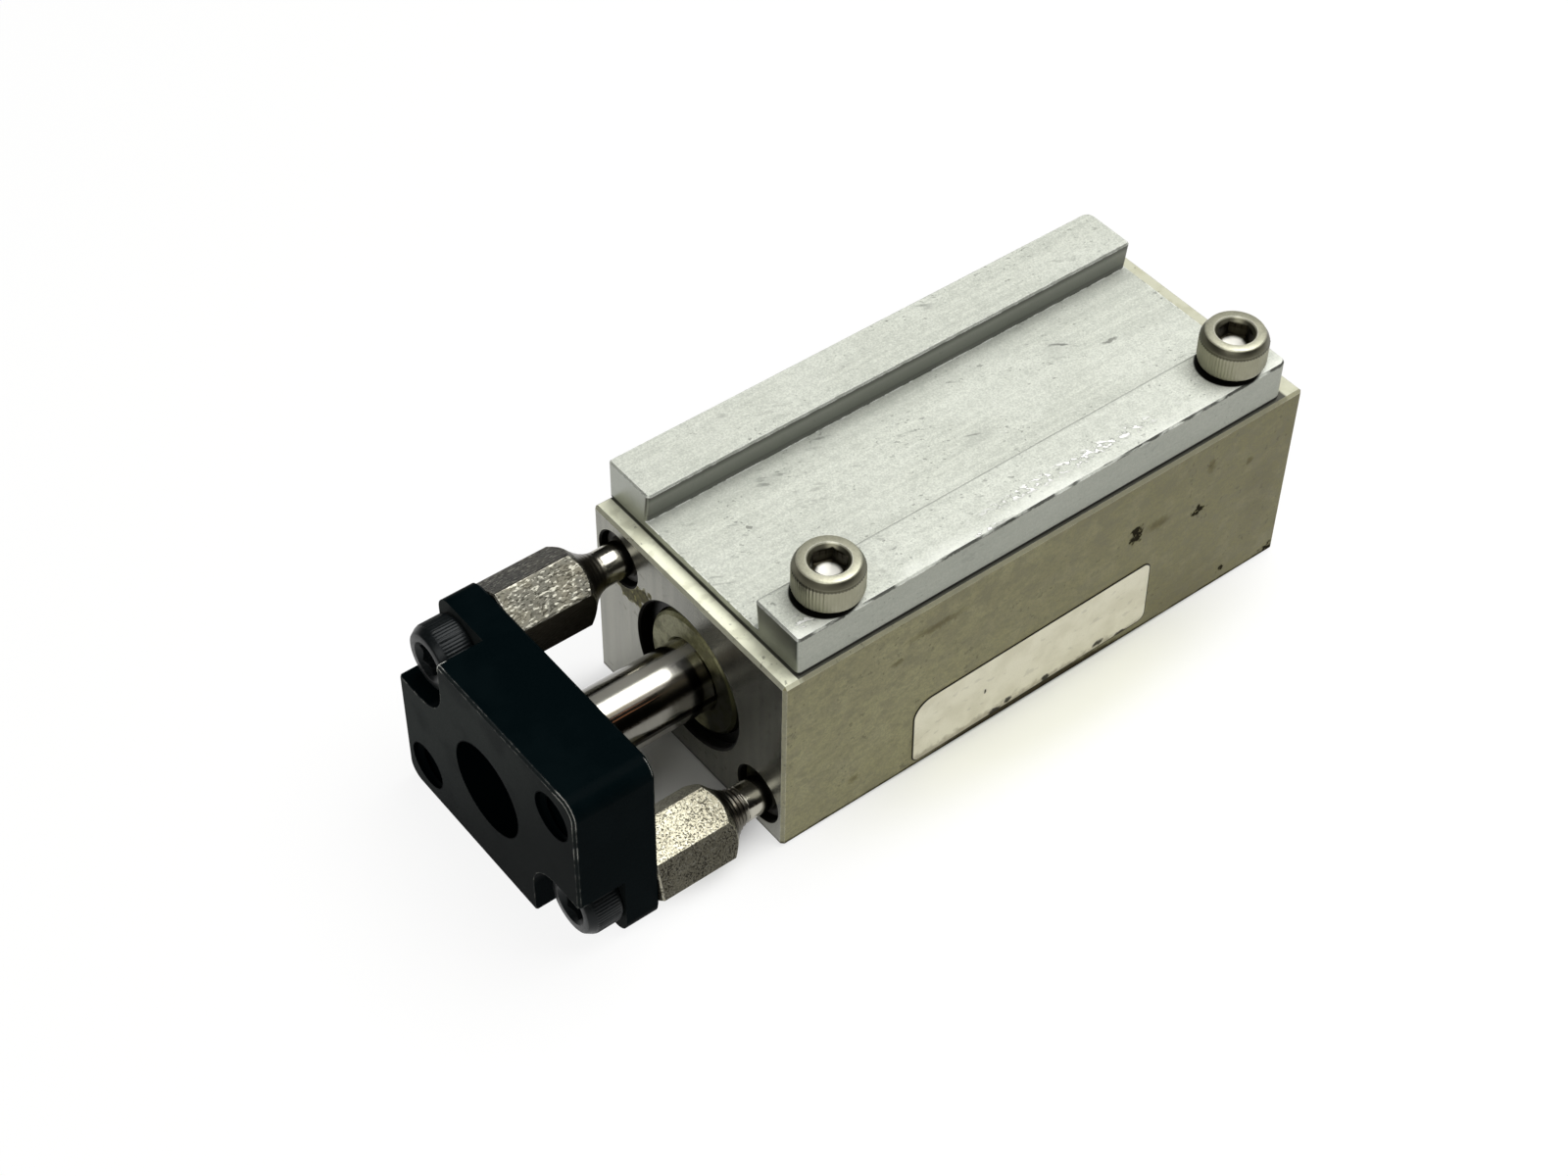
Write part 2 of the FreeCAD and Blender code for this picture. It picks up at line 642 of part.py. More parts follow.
def front_plate():
    """Plate on the rod and pins: rounded corners, two notches, tool threads and a centre bore."""
    half_width = BODY_WIDTH / 2 - PLATE_INSET
    bottom = PLATE_INSET
    height = BODY_HEIGHT - 2 * PLATE_INSET
    block = Part.makeBox(PLATE_THICKNESS, 2 * half_width, height, Vector(plate_back, -half_width, bottom))
    corner_edges = [edge for edge in block.Edges if edge.BoundBox.XLength > PLATE_THICKNESS / 2]
    block = block.makeFillet(PLATE_CORNER_RADIUS, corner_edges)
    rim_edges = [edge for edge in block.Edges if edge.BoundBox.XLength < PLATE_THICKNESS / 2]
    block = block.makeChamfer(PLATE_EDGE_CHAMFER, rim_edges)
    cuts = []
    hole_radius = SCREW_THREAD / 2 + SCREW_HOLE_GAP
    for y, z in guide_places().values():
        cuts.append(notch_cut(y, z))
        cuts.append(rod_x(plate_back, plate_front, hole_radius, y, z))
        cuts.append(rod_x(plate_back, plate_front, PLATE_TOOL_THREAD / 2, -y, z))
    cuts.append(rod_x(plate_front - PLATE_BORE_DEPTH, plate_front, PLATE_BORE_DIAMETER / 2))
    cuts.append(rod_x(plate_back, plate_front, rod_radius - ROD_END_STEP + THREAD_CLEARANCE))
    return block.cut(cuts)


def front_plate_screws():
    """Two cap screws in the notches, through the web into the hexagon pins."""
    screws = []
    for y, z in guide_places().values():
        screw = cap_screw(PLATE_SCREW_LENGTH)
        screw.rotate(Vector(0, 0, 0), Vector(0, 1, 0), 90)
        screw.translate(Vector(plate_back + plate_web, y, z))
        screws.append(screw)
    return Part.Compound(screws)


def build():
    """Every node of the part by name."""
    places = guide_places()
    return {
        "cylinder_body": cylinder_body(),
        "channel_plate": channel_plate(),
        "channel_plate_screws": channel_plate_screws(),
        "rod_cover": rod_cover(),
        "rod_cover_oring": oring(oring_depth),
        "rod_cover_retaining_ring": retaining_ring(inward(ring_back)),
        "rod_seal": rod_seal(),
        "front_bumper": bumper(ROD_COVER_DEPTH),
        "end_cap": end_cap(),
        "end_cap_oring": oring(body_length - cap_oring_depth),
        "end_cap_retaining_ring": retaining_ring(inward(body_length - RING_SETBACK)),
        "rear_bumper": bumper(body_length - END_CAP_DEPTH - BUMPER_THICKNESS),
        "guide_bush_upper": guide_bush(*places["upper"]),
        "guide_bush_lower": guide_bush(*places["lower"]),
        "piston_rod": piston_rod(),
        "piston": piston(),
        "piston_wear_ring": piston_wear_ring(),
        "piston_seal": piston_seal(),
        "piston_nut": piston_nut(),
        "guide_pin_upper": guide_pin(*places["upper"], UPPER_HEX_TURN),
        "guide_pin_lower": guide_pin(*places["lower"], LOWER_HEX_TURN),
        "front_plate": front_plate(),
        "front_plate_screws": front_plate_screws(),
    }


os.makedirs("parts", exist_ok=True)
for node, shape in build().items():
    shape.exportStep("parts/" + node + ".step")
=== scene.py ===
"""Looks of a compact guided air cylinder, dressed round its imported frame.

The part lies on a white table under two round softboxes in a dim room. The solids of the frame keep
their shapes and get worked metal finishes. The cap screws and the hexagon guide pins are replaced by
finer surfaces, and a bare label and the threads of the open holes are added. Lengths are in millimetres.
"""
import json
import math

import bmesh
import bpy
import numpy as np
from mathutils import Matrix, Vector


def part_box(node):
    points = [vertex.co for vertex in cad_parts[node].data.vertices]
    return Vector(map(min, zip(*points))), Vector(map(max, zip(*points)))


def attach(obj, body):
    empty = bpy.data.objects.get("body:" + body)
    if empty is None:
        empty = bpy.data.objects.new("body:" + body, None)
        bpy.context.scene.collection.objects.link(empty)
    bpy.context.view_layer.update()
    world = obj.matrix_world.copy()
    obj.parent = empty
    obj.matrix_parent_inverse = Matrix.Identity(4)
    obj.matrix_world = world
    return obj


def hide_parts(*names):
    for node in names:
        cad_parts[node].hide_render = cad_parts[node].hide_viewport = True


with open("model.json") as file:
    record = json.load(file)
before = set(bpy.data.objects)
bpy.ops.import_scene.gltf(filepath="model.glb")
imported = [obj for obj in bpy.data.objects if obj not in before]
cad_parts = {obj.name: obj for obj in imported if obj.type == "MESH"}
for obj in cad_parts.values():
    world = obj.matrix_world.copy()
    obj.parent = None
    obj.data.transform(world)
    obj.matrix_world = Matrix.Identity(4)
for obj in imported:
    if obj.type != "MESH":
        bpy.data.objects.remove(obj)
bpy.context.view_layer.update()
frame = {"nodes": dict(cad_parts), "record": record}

# Units
MM = 0.001

# Axes of the frame: the rod comes out along +X, and +Y is the near side
ALONG = (1, 0, 0)
BACK = (-1, 0, 0)
ACROSS = (0, 1, 0)
FAR = (0, -1, 0)
UP = (0, 0, 1)
DOWN = (0, 0, -1)

# Camera, fitted to the straight edges of the block
PHOTO_WIDTH = 1600
CAMERA_AZIMUTH = 141.404
CAMERA_ELEVATION = 46.765
CAMERA_ROLL = 0.874
CAMERA_DISTANCE = 221.155
CAMERA_TARGET = (3.476, -5.305, 5.575)
FOCAL_PIXELS = 2833.8
SENSOR_WIDTH = 36.0
CLIP_START = 10.0

# Studio
SOFTBOX_SIZE = 600.0
SOFTBOX_PLACE = (-250.0, 50.0, 600.0)
SOFTBOX_POWER = 5.0
FILL_SIZE = 500.0
FILL_PLACE = (420.0, 300.0, 480.0)
FILL_POWER = 1.7
FLOOR_SIZE = 8000.0
FLOOR_WHITE = "#FBFBF8"
FLOOR_SHADE = "#DEDECB"
FLOOR_BOUNCE = "#DCDCD6"
FLOOR_LIFT = 0.88
# Spots of painted shadow on the table, between block and plate and beside the near side, in FLOOR_SHADE
FLOOR_GAP = ((21.0, 0.0, 0.0), (13.0, 14.0, 10.0))
FLOOR_SIDE = ((-9.0, 13.0, 0.0), (34.0, 9.0, 10.0))
ROOM_COLOURS = (
    (0.0, "#1C1B19"),
    (0.5, "#2A241C"),
    (0.515, "#3A2C1C"),
    (0.56, "#191816"),
    (0.75, "#1E1E1D"),
    (0.86, "#4A4A47"),
    (1.0, "#4A4A47"),
)

# Meshes
MERGE_DISTANCE = 0.0002
SHARP_ANGLE = 32.0
ROUND_STEPS = 240

# Cap screws; the shoulder's rings are heights from the head's top and insets
HEAD_RADIUS = 2.75
HEAD_HEIGHT = 3.0
HEAD_SHOULDER = ((-0.6, 0.0), (-0.52, 0.015), (-0.11, 0.27), (-0.04, 0.32), (0.0, 0.4))
HEAD_FOOT_ROUND = 0.28
HEAD_FOOT_STEPS = 6
KNURL_TEETH = 64
KNURL_DEPTH = 0.08
KNURL_FOOT = 0.392
KNURL_TOP = 0.75
SOCKET_FLATS = 2.5
SOCKET_HARDNESS = 120.0
SOCKET_DEPTH = 1.5
SOCKET_MOUTH_RADIUS = 1.6
SOCKET_MOUTH_SLOPE = 1.0
SOCKET_MOUTH_STEPS = 9
SOCKET_EDGE_BREAK = 0.08
SOCKET_FLOOR_DROP = 0.45
SCREW_RADIUS = 1.5
SCREW_PITCH = 0.5
SCREW_PITCH_STEPS = 6
SCREW_ROOT_SHARE = 0.61
SCREW_TIP_CHAMFER = 0.4
SCREW_PLAIN_LENGTH = 0.5
RAIL_SCREW_TURNS = (12.0, 34.0)
PLATE_SCREW_TURNS = (10.0, 25.0)

# Hexagon guide pins
PIN_RADIUS = 1.5
PIN_HEX_FLATS = 6.0
PIN_HEX_HARDNESS = 90.0
PIN_HEX_LENGTH = 7.3
PIN_TAP_RADIUS = 1.52
PIN_TAP_DEPTH = 6.3
PIN_NECK_LENGTH = 2.2
PIN_NECK_BEND = 2.0
PIN_NECK_STEPS = 60
PIN_END_CHAMFER = 0.3
PIN_EDGE_BREAK = 0.12
PIN_SHOULDER_RADIUS = 2.8
PIN_CHAMFER_LENGTH = 0.72
PIN_CHAMFER_STEPS = 24
PIN_RIDGES = 5.5
UPPER_RIDGE_DEPTH = 0.02
LOWER_RIDGE_DEPTH = 0.13
UPPER_HEX_TURN = -2.5
LOWER_HEX_TURN = 14.5

# Bare label on the near side
LABEL_MIDDLE_X = -7.95
LABEL_MIDDLE_Z = 4.3
LABEL_FACE = 11.8
LABEL_WIDTH = 24.5
LABEL_HEIGHT = 6.8
LABEL_TILT = 1.2
LABEL_CORNERS = ((1.9, 1.8), (0.8, 0.8), (0.9, 0.9), (0.7, 0.7))
LABEL_THICKNESS = 0.07
LABEL_SINK = 0.02
LABEL_RIM = 0.14
LABEL_STEPS = 96

# Threads cut in open holes: wall radius, pitch and depth; the ridge's height and half width are in pitches
TOOL_HOLE_THREAD = (2.0, 0.7)
PORT_THREAD = (2.5, 0.8, 4.0)
BASE_TAP_THREAD = (1.52, 0.5, 4.0)
THREAD_STEPS = 36
THREAD_HEIGHT = 0.54
THREAD_HALF_WIDTH = 0.44
THREAD_SINK = 0.01
THREAD_FADE = 3

# Places that the finishes are drawn at, and the slant of the channel's scuffs in degrees
FLANGE_TOP = 21.8
CHANNEL_FLOOR = 19.0
SCUFF_SLANT = 28.0
ROD_HEIGHT = 9.0
ROD_MIDDLE = 24.0
ROD_REACH = 16.0
BORE_MOUTH = 6.5
BUSH_MOUTH = 2.56
BLOCK_HOLE_REACH = 40.0
PLATE_BORE_MOUTH = 4.12
TOOL_HOLE_MOUTH = 2.1
PLATE_HOLE_REACH = 80.0

# Shader nodes; a Mix node has its kind of data, and its first value and result by number
MIX_COLOUR = ("RGBA", 6, 2)
MIX_NUMBER = ("FLOAT", 2, 0)
BEVEL_SAMPLES = 6
NOISE_MEAN = (0.5, 0.5, 0.5)


def box_mm(name):
    """Lowest and highest corner of a node of the frame, in millimetres."""
    low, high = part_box(name)
    return np.array(low) / MM, np.array(high) / MM


body_low, body_high = box_mm("cylinder_body")
plate_low, plate_high = box_mm("front_plate")
upper_low, upper_high = box_mm("guide_pin_upper")
lower_low, lower_high = box_mm("guide_pin_lower")
rail_screw_low, rail_screw_high = box_mm("channel_plate_screws")
plate_screw_low, plate_screw_high = box_mm("front_plate_screws")
upper_axis = (upper_low + upper_high) / 2
lower_axis = (lower_low + lower_high) / 2
rail_places = (rail_screw_high[0] - HEAD_RADIUS, rail_screw_low[0] + HEAD_RADIUS)
rail_across = (rail_screw_low[1] + rail_screw_high[1]) / 2


# Surfaces

def skin(name, grids, body, material, rim=None):
    """Mesh over grids of points in millimetres, each rows by columns by 3, that rides on a body.

    Every cell between two rows and two columns is one face, and the last column is joined to the first.
    Points that fall together are merged, which closes poles and seams, and faces are turned outwards.
    A rim, one number for each point, is kept as an attribute for the material.
    """
    points = []
    faces = []
    start = 0
    for grid in grids:
        rows, columns = grid.shape[:2]
        index = start + np.arange(rows * columns).reshape(rows, columns)
        index = np.concatenate([index, index[:, :1]], axis=1)
        cells = np.stack([index[:-1, :-1], index[:-1, 1:], index[1:, 1:], index[1:, :-1]], axis=-1)
        points.append(grid.reshape(-1, 3) * MM)
        faces.append(cells.reshape(-1, 4))
        start += rows * columns
    mesh = bpy.data.meshes.new(name)
    mesh.from_pydata(np.concatenate(points).tolist(), [], np.concatenate(faces).tolist())
    if rim is not None:
        mesh.attributes.new("rim", "FLOAT", "POINT").data.foreach_set("value", rim.ravel())
    shape = bmesh.new()
    shape.from_mesh(mesh)
    bmesh.ops.remove_doubles(shape, verts=shape.verts, dist=MERGE_DISTANCE * MM)
    bmesh.ops.recalc_face_normals(shape, faces=shape.faces)
    shape.to_mesh(mesh)
    shape.free()
    mesh.shade_smooth()
    mesh.set_sharp_from_angle(angle=math.radians(SHARP_ANGLE))
    mesh.materials.append(material)
    piece = bpy.data.objects.new(name, mesh)
    bpy.context.scene.collection.objects.link(piece)
    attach(piece, body)
    return piece


def turned(origin, axis, side, along, radius, angle):
    """Rings round an axis.

    A point is origin + along * axis + radius * (cos angle * side + sin angle * third axis).
    """
    axis = np.array(axis, float)
    side = np.array(side, float)
    third = np.cross(axis, side)
    along = np.broadcast_to(along, radius.shape)
    outward = np.cos(angle)[..., None] * side + np.sin(angle)[..., None] * third
    return np.array(origin) + along[..., None] * axis + radius[..., None] * outward


def stacked(rings):
    """Heights of rings as a column, and their radii as rows."""
    heights, radii = zip(*rings)
    return np.array(heights)[:, None], np.array(radii)


def hexagon(angle, flats, turn, hardness):
    """Radius of a hexagon at an angle: half the flats over the p-norm of the six flat normals' cosines.

    The hardness p rounds the corners: the higher, the sharper.
    """
    normals = np.radians(turn) + np.arange(6) * math.pi / 3
    cosines = np.maximum(np.cos(angle[..., None] - normals), 0.0)
    return flats / 2 / (cosines ** hardness).sum(axis=-1) ** (1 / hardness)


def triangle_wave(phase):
    """Wave that rises from 0 to 1 and falls back over one unit of phase."""
    return 1 - np.abs(2 * (phase % 1.0) - 1)


def cap_screw(top, axis, side, tip, turn):
    """Rings of a socket cap screw from the tip of its shank, over its head and down into its socket.

    Heights run from the head's top along the axis. The shank's radius swings between crest and root with
    the triangle wave of height / pitch - angle, which is a helix. The head's foot is a quarter circle, the
    knurl takes a triangle wave of the angle off the head's radius, and the shoulder is a steep cone with a
    rounded rim. In the socket the radius is the larger of the countersink's cone and the hexagon, down to a
    shallow cone.
    """
    angle = np.linspace(0, 2 * math.pi, ROUND_STEPS, endpoint=False)
    flat = np.ones(ROUND_STEPS)
    hexagon_wall = hexagon(angle, SOCKET_FLATS, turn, SOCKET_HARDNESS)
    seat = -HEAD_HEIGHT
    root = SCREW_RADIUS - SCREW_ROOT_SHARE * SCREW_PITCH
    thread = np.arange(tip + SCREW_TIP_CHAMFER, seat - SCREW_PLAIN_LENGTH, SCREW_PITCH / SCREW_PITCH_STEPS)
    fade = np.clip((seat - SCREW_PLAIN_LENGTH - thread) / SCREW_PITCH, 0, 1)[:, None]
    wave = triangle_wave(thread[:, None] / SCREW_PITCH - angle / (2 * math.pi))
    shank = SCREW_RADIUS - (SCREW_RADIUS - root) * wave * fade
    knurl = HEAD_RADIUS - KNURL_DEPTH * triangle_wave(angle * KNURL_TEETH / (2 * math.pi))
    plain = HEAD_RADIUS - KNURL_DEPTH
    quarter = np.radians(np.linspace(0, 90, HEAD_FOOT_STEPS))
    foot = [
        (seat + HEAD_FOOT_ROUND * (1 - math.cos(a)), (plain - HEAD_FOOT_ROUND * (1 - math.sin(a))) * flat)
        for a in quarter
    ]
    shoulder = [(height, (plain - inset) * flat) for height, inset in HEAD_SHOULDER]
    mouth_depth = (SOCKET_MOUTH_RADIUS - SOCKET_FLATS / 2) / SOCKET_MOUTH_SLOPE
    sink = np.linspace(0, mouth_depth, SOCKET_MOUTH_STEPS)
    countersink = [(0.0, (SOCKET_MOUTH_RADIUS + SOCKET_EDGE_BREAK) * flat)]
    countersink += [
        (-SOCKET_EDGE_BREAK - deep, np.maximum(SOCKET_MOUTH_RADIUS - cone, hexagon_wall))
        for deep, cone in zip(sink, SOCKET_MOUTH_SLOPE * sink)
    ]
    rings = [(tip, 0 * flat), (tip, root * flat)]
    rings += list(zip(thread, shank))
    rings += [(seat - SCREW_PLAIN_LENGTH / 2, SCREW_RADIUS * flat), (seat, SCREW_RADIUS * flat)]
    rings += foot
    rings += [(seat + KNURL_FOOT, knurl), (-KNURL_TOP, knurl)]
    rings += shoulder
    rings += countersink
    rings += [(-SOCKET_DEPTH, hexagon_wall), (-SOCKET_DEPTH - SOCKET_FLOOR_DROP, 0 * flat)]
    along, radius = stacked(rings)
    return turned(top, axis, side, along, radius, np.broadcast_to(angle, radius.shape))


def guide_pin(plate_end, tail, turn, ridge_depth):
    """Rings of a guide pin turned from hexagon bar, from the tapped hole at the plate to the pin's tail.

    The bar's radius is the smaller of the rounded hexagon and a chamfer cone of 45 degrees. The neck falls
    from the shoulder to the pin as a power of the way left to go, less turning ridges that are a triangle
    wave along it.
    """
    angle = np.radians(turn) + np.linspace(0, 2 * math.pi, ROUND_STEPS, endpoint=False)
    flat = np.ones(ROUND_STEPS)
    bar = hexagon(angle, PIN_HEX_FLATS, turn, PIN_HEX_HARDNESS)
    chamfer = np.linspace(PIN_CHAMFER_LENGTH, 0, PIN_CHAMFER_STEPS)
    neck = np.linspace(0, 1, PIN_NECK_STEPS)
    flare = (PIN_SHOULDER_RADIUS - PIN_RADIUS) * (1 - neck) ** PIN_NECK_BEND
    ridges = ridge_depth * triangle_wave(neck * PIN_RIDGES) * np.sin(neck * math.pi) ** 0.5
    length = plate_end - tail
    rings = [
        (PIN_TAP_DEPTH, 0 * flat),
        (PIN_TAP_DEPTH, PIN_TAP_RADIUS * flat),
        (0.0, PIN_TAP_RADIUS * flat),
        (0.0, bar - PIN_EDGE_BREAK),
        (PIN_EDGE_BREAK, bar),
    ]
    rings += [(PIN_HEX_LENGTH - step, np.minimum(bar, PIN_SHOULDER_RADIUS + step)) for step in chamfer]
    rings += [
        (PIN_HEX_LENGTH + share * PIN_NECK_LENGTH, (PIN_RADIUS + rise - ridge) * flat)
        for share, rise, ridge in zip(neck[1:], flare[1:], ridges[1:])
    ]
    rings += [
        (length - PIN_END_CHAMFER, PIN_RADIUS * flat),
        (length, (PIN_RADIUS - PIN_END_CHAMFER) * flat),
        (length, 0 * flat),
    ]
    along, radius = stacked(rings)
    return along, radius, np.broadcast_to(angle, radius.shape)


def inner_thread(mouth, axis, side, radius, pitch, depth):
    """Ridge of an inside thread: a triangle carried round a helix down the wall, fading out at both ends.

    At turn t the ridge's middle lies (t + 1/2) * pitch down the hole. Its foot is just behind the wall, and
    its crest stands THREAD_HEIGHT * pitch in from there.
    """
    turns = depth / pitch - 1
    count = int(turns * THREAD_STEPS)
    turn = np.linspace(0, turns, count)[:, None]
    size = np.clip(np.minimum(turn, turns - turn) * THREAD_FADE, 0, 1)
    foot = radius + THREAD_SINK
    crest = foot - THREAD_HEIGHT * pitch * size
    radii = np.concatenate([foot + 0 * turn, crest, foot + 0 * turn], axis=1)
    shift = np.array([-1, 0, 1]) * THREAD_HALF_WIDTH * pitch * size
    along = -(0.5 + turn) * pitch + shift
    angle = np.broadcast_to(-2 * math.pi * turn, radii.shape)
    return turned(mouth, axis, side, along, radii, angle)


def rounded_plate(width, height, corners, thickness, rim):
    """Thin plate with rounded corners, in rings from the middle of its back, round its edge, to its front.

    A ring's outline is the corner's centre plus a quarter of an ellipse, quadrant by quadrant, all drawn in
    by the ring's inset. The second result is 1 on the rings of the edge and 0 inside the rim.
    """
    step = np.arange(LABEL_STEPS)
    angle = (step + 0.5) * 2 * math.pi / LABEL_STEPS
    quadrant = step * 4 // LABEL_STEPS
    inset = np.array([height / 2, 0.0, 0.0, 0.4 * thickness, rim, height / 2])[:, None]
    out = np.array([0.0, 0.0, 0.6, 1.0, 1.0, 1.0])[:, None] * thickness
    edge = np.array([0.0, 1.0, 1.0, 1.0, 0.0, 0.0])[:, None]
    long, tall = np.array(corners)[quadrant].T
    cosine = np.cos(angle)
    sine = np.sin(angle)
    across = np.sign(cosine) * (width / 2 - np.maximum(long, inset)) + np.maximum(long - inset, 0) * cosine
    up = np.sign(sine) * (height / 2 - np.maximum(tall, inset)) + np.maximum(tall - inset, 0) * sine
    return np.stack([across, out + 0 * across, up], axis=-1), edge + 0 * across


# Shader helpers

def linear(code):
    """Linear colour of an sRGB hex code."""
    parts = [int(code[place:place + 2], 16) / 255 for place in (1, 3, 5)]
    light = [part / 12.92 if part <= 0.04045 else ((part + 0.055) / 1.055) ** 2.4 for part in parts]
    return (*light, 1.0)


def node(tree, kind, inputs=None, stops=None, **settings):
    """Add a shader node: settings are its properties, stops its ramp, and inputs are linked or set."""
    added = tree.nodes.new("ShaderNode" + kind)
    for name, value in settings.items():
        setattr(added, name, value)
    if stops:
        added.color_ramp.elements[0].position = stops[0][0]
        added.color_ramp.elements[1].position = stops[-1][0]
        for position, _ in stops[1:-1]:
            added.color_ramp.elements.new(position)
        for element, (_, code) in zip(added.color_ramp.elements, stops):
            element.color = linear(code)
    for name, value in (inputs or {}).items():
        if isinstance(value, bpy.types.NodeSocket):
            tree.links.new(value, added.inputs[name])
        else:
            added.inputs[name].default_value = value
    return added


def finish(name, **sockets):
    """New material: its node tree, its main shader with some sockets set, and its Object coordinates."""
    material = bpy.data.materials.new(name)
    material.use_nodes = True
    tree = material.node_tree
    shader = tree.nodes["Principled BSDF"]
    for socket, value in sockets.items():
        shader.inputs[socket.replace("_", " ")].default_value = value
    return material, tree, shader, node(tree, "TexCoord").outputs["Object"]


def blotches(place, size, low, high, stretch=(1, 1, 1), detail=3.0):
    """Share of an irregular pattern, 0 to 1: noise of a size, steepened between two levels."""
    tree = place.id_data
    spread = node(tree, "Mapping", {"Vector": place, "Scale": stretch}).outputs[0]
    noise = node(tree, "TexNoise", {"Vector": spread, "Scale": 1 / (size * MM), "Detail": detail}).outputs[0]
    steep = {"Value": noise, "From Min": low, "From Max": high}
    return node(tree, "MapRange", steep, interpolation_type="SMOOTHSTEP").outputs[0]


def ragged(place, size, reach):
    """Place shifted about by noise of a size and reach, so that what is drawn there is ragged."""
    tree = place.id_data
    fine = {"Vector": place, "Scale": 1 / (size * MM), "Detail": 2.0}
    noise = node(tree, "TexNoise", fine).outputs["Color"]
    swing = node(tree, "VectorMath", {0: noise, 1: NOISE_MEAN}, operation="SUBTRACT").outputs[0]
    shift = node(tree, "VectorMath", {0: swing, "Scale": 2 * reach * MM}, operation="SCALE").outputs[0]
    return node(tree, "VectorMath", {0: place, 1: shift}, operation="ADD").outputs[0]


def worn_edge(tree, width, low=0.02, high=0.2):
    """Share of an edge, 0 to 1: how far the normal turns when edges are rounded over a width."""
    rounded = node(tree, "Bevel", {"Radius": width * MM}, samples=BEVEL_SAMPLES).outputs[0]
    normal = node(tree, "NewGeometry").outputs["Normal"]
    along = node(tree, "VectorMath", {0: rounded, 1: normal}, operation="DOT_PRODUCT").outputs["Value"]
    return node(tree, "MapRange", {"Value": along, "From Min": 1 - low, "From Max": 1 - high}).outputs[0]


def facing(tree, axis, low=0.6, high=0.9):
    """Share of the surface that faces along an axis, 0 to 1."""
    normal = node(tree, "NewGeometry").outputs["Normal"]
    along = node(tree, "VectorMath", {0: normal, 1: axis}, operation="DOT_PRODUCT").outputs["Value"]
    return node(tree, "MapRange", {"Value": along, "From Min": low, "From Max": high}).outputs[0]


def past(place, axis, start, end):
    """Share that rises from 0 to 1 between two places along an axis, in millimetres."""
    tree = place.id_data
    along = node(tree, "VectorMath", {0: place, 1: axis}, operation="DOT_PRODUCT").outputs["Value"]
    rise = {"Value": along, "From Min": start * MM, "From Max": end * MM}
    return node(tree, "MapRange", rise, interpolation_type="SMOOTHSTEP").outputs[0]


def spots_on(axis, level, depth, spots):
    """Spots for marks on a plane across an axis at a level; the depth is their half size along it.

    Each spot is given as the two other coordinates of its centre and its two other half sizes.
    """
    way = axis.index(1)
    return [(np.insert(spot[:2], way, level), np.insert(spot[2:], way, depth)) for spot in spots]


def marks(place, spots, soft=0.5):
    """Share of a few soft spots, each a centre and its half sizes: 1 inside, fading to 0 at the rim."""
    tree = place.id_data
    nearest = 2.0
    for centre, reach in spots:
        shift = tuple(-middle / half for middle, half in zip(centre, reach))
        scale = tuple(1 / (half * MM) for half in reach)
        inside = node(tree, "Mapping", {"Vector": place, "Location": shift, "Scale": scale}).outputs[0]
        length = node(tree, "VectorMath", {0: inside}, operation="LENGTH").outputs["Value"]
        nearest = node(tree, "Math", {0: nearest, 1: length}, operation="MINIMUM").outputs[0]
    fade = {"Value": nearest, "From Min": 1.0, "From Max": 1.0 - soft}
    return node(tree, "MapRange", fade, interpolation_type="SMOOTHSTEP").outputs[0]


def overlay(tree, ground, layers):
    """Ground value with layers over it: each is a strength, the shares that confine it and its own value.

    The values are hex colours, or numbers where they are for roughness and the like.
    """
    coloured = isinstance(ground, str)
    kind, first, result = MIX_COLOUR if coloured else MIX_NUMBER
    total = linear(ground) if coloured else ground
    for strength, *shares, value in layers:
        cover = strength
        for share in shares:
            cover = node(tree, "Math", {0: cover, 1: share}, operation="MULTIPLY").outputs[0]
        value = linear(value) if coloured else value
        total = node(tree, "Mix", {0: cover, first: total, first + 1: value}, data_type=kind).outputs[result]
    return total


def coat(shader, socket, ground, layers):
    """Drive a socket of the shader by a ground value with layers over it."""
    tree = shader.id_data
    tree.links.new(overlay(tree, ground, layers), shader.inputs[socket])
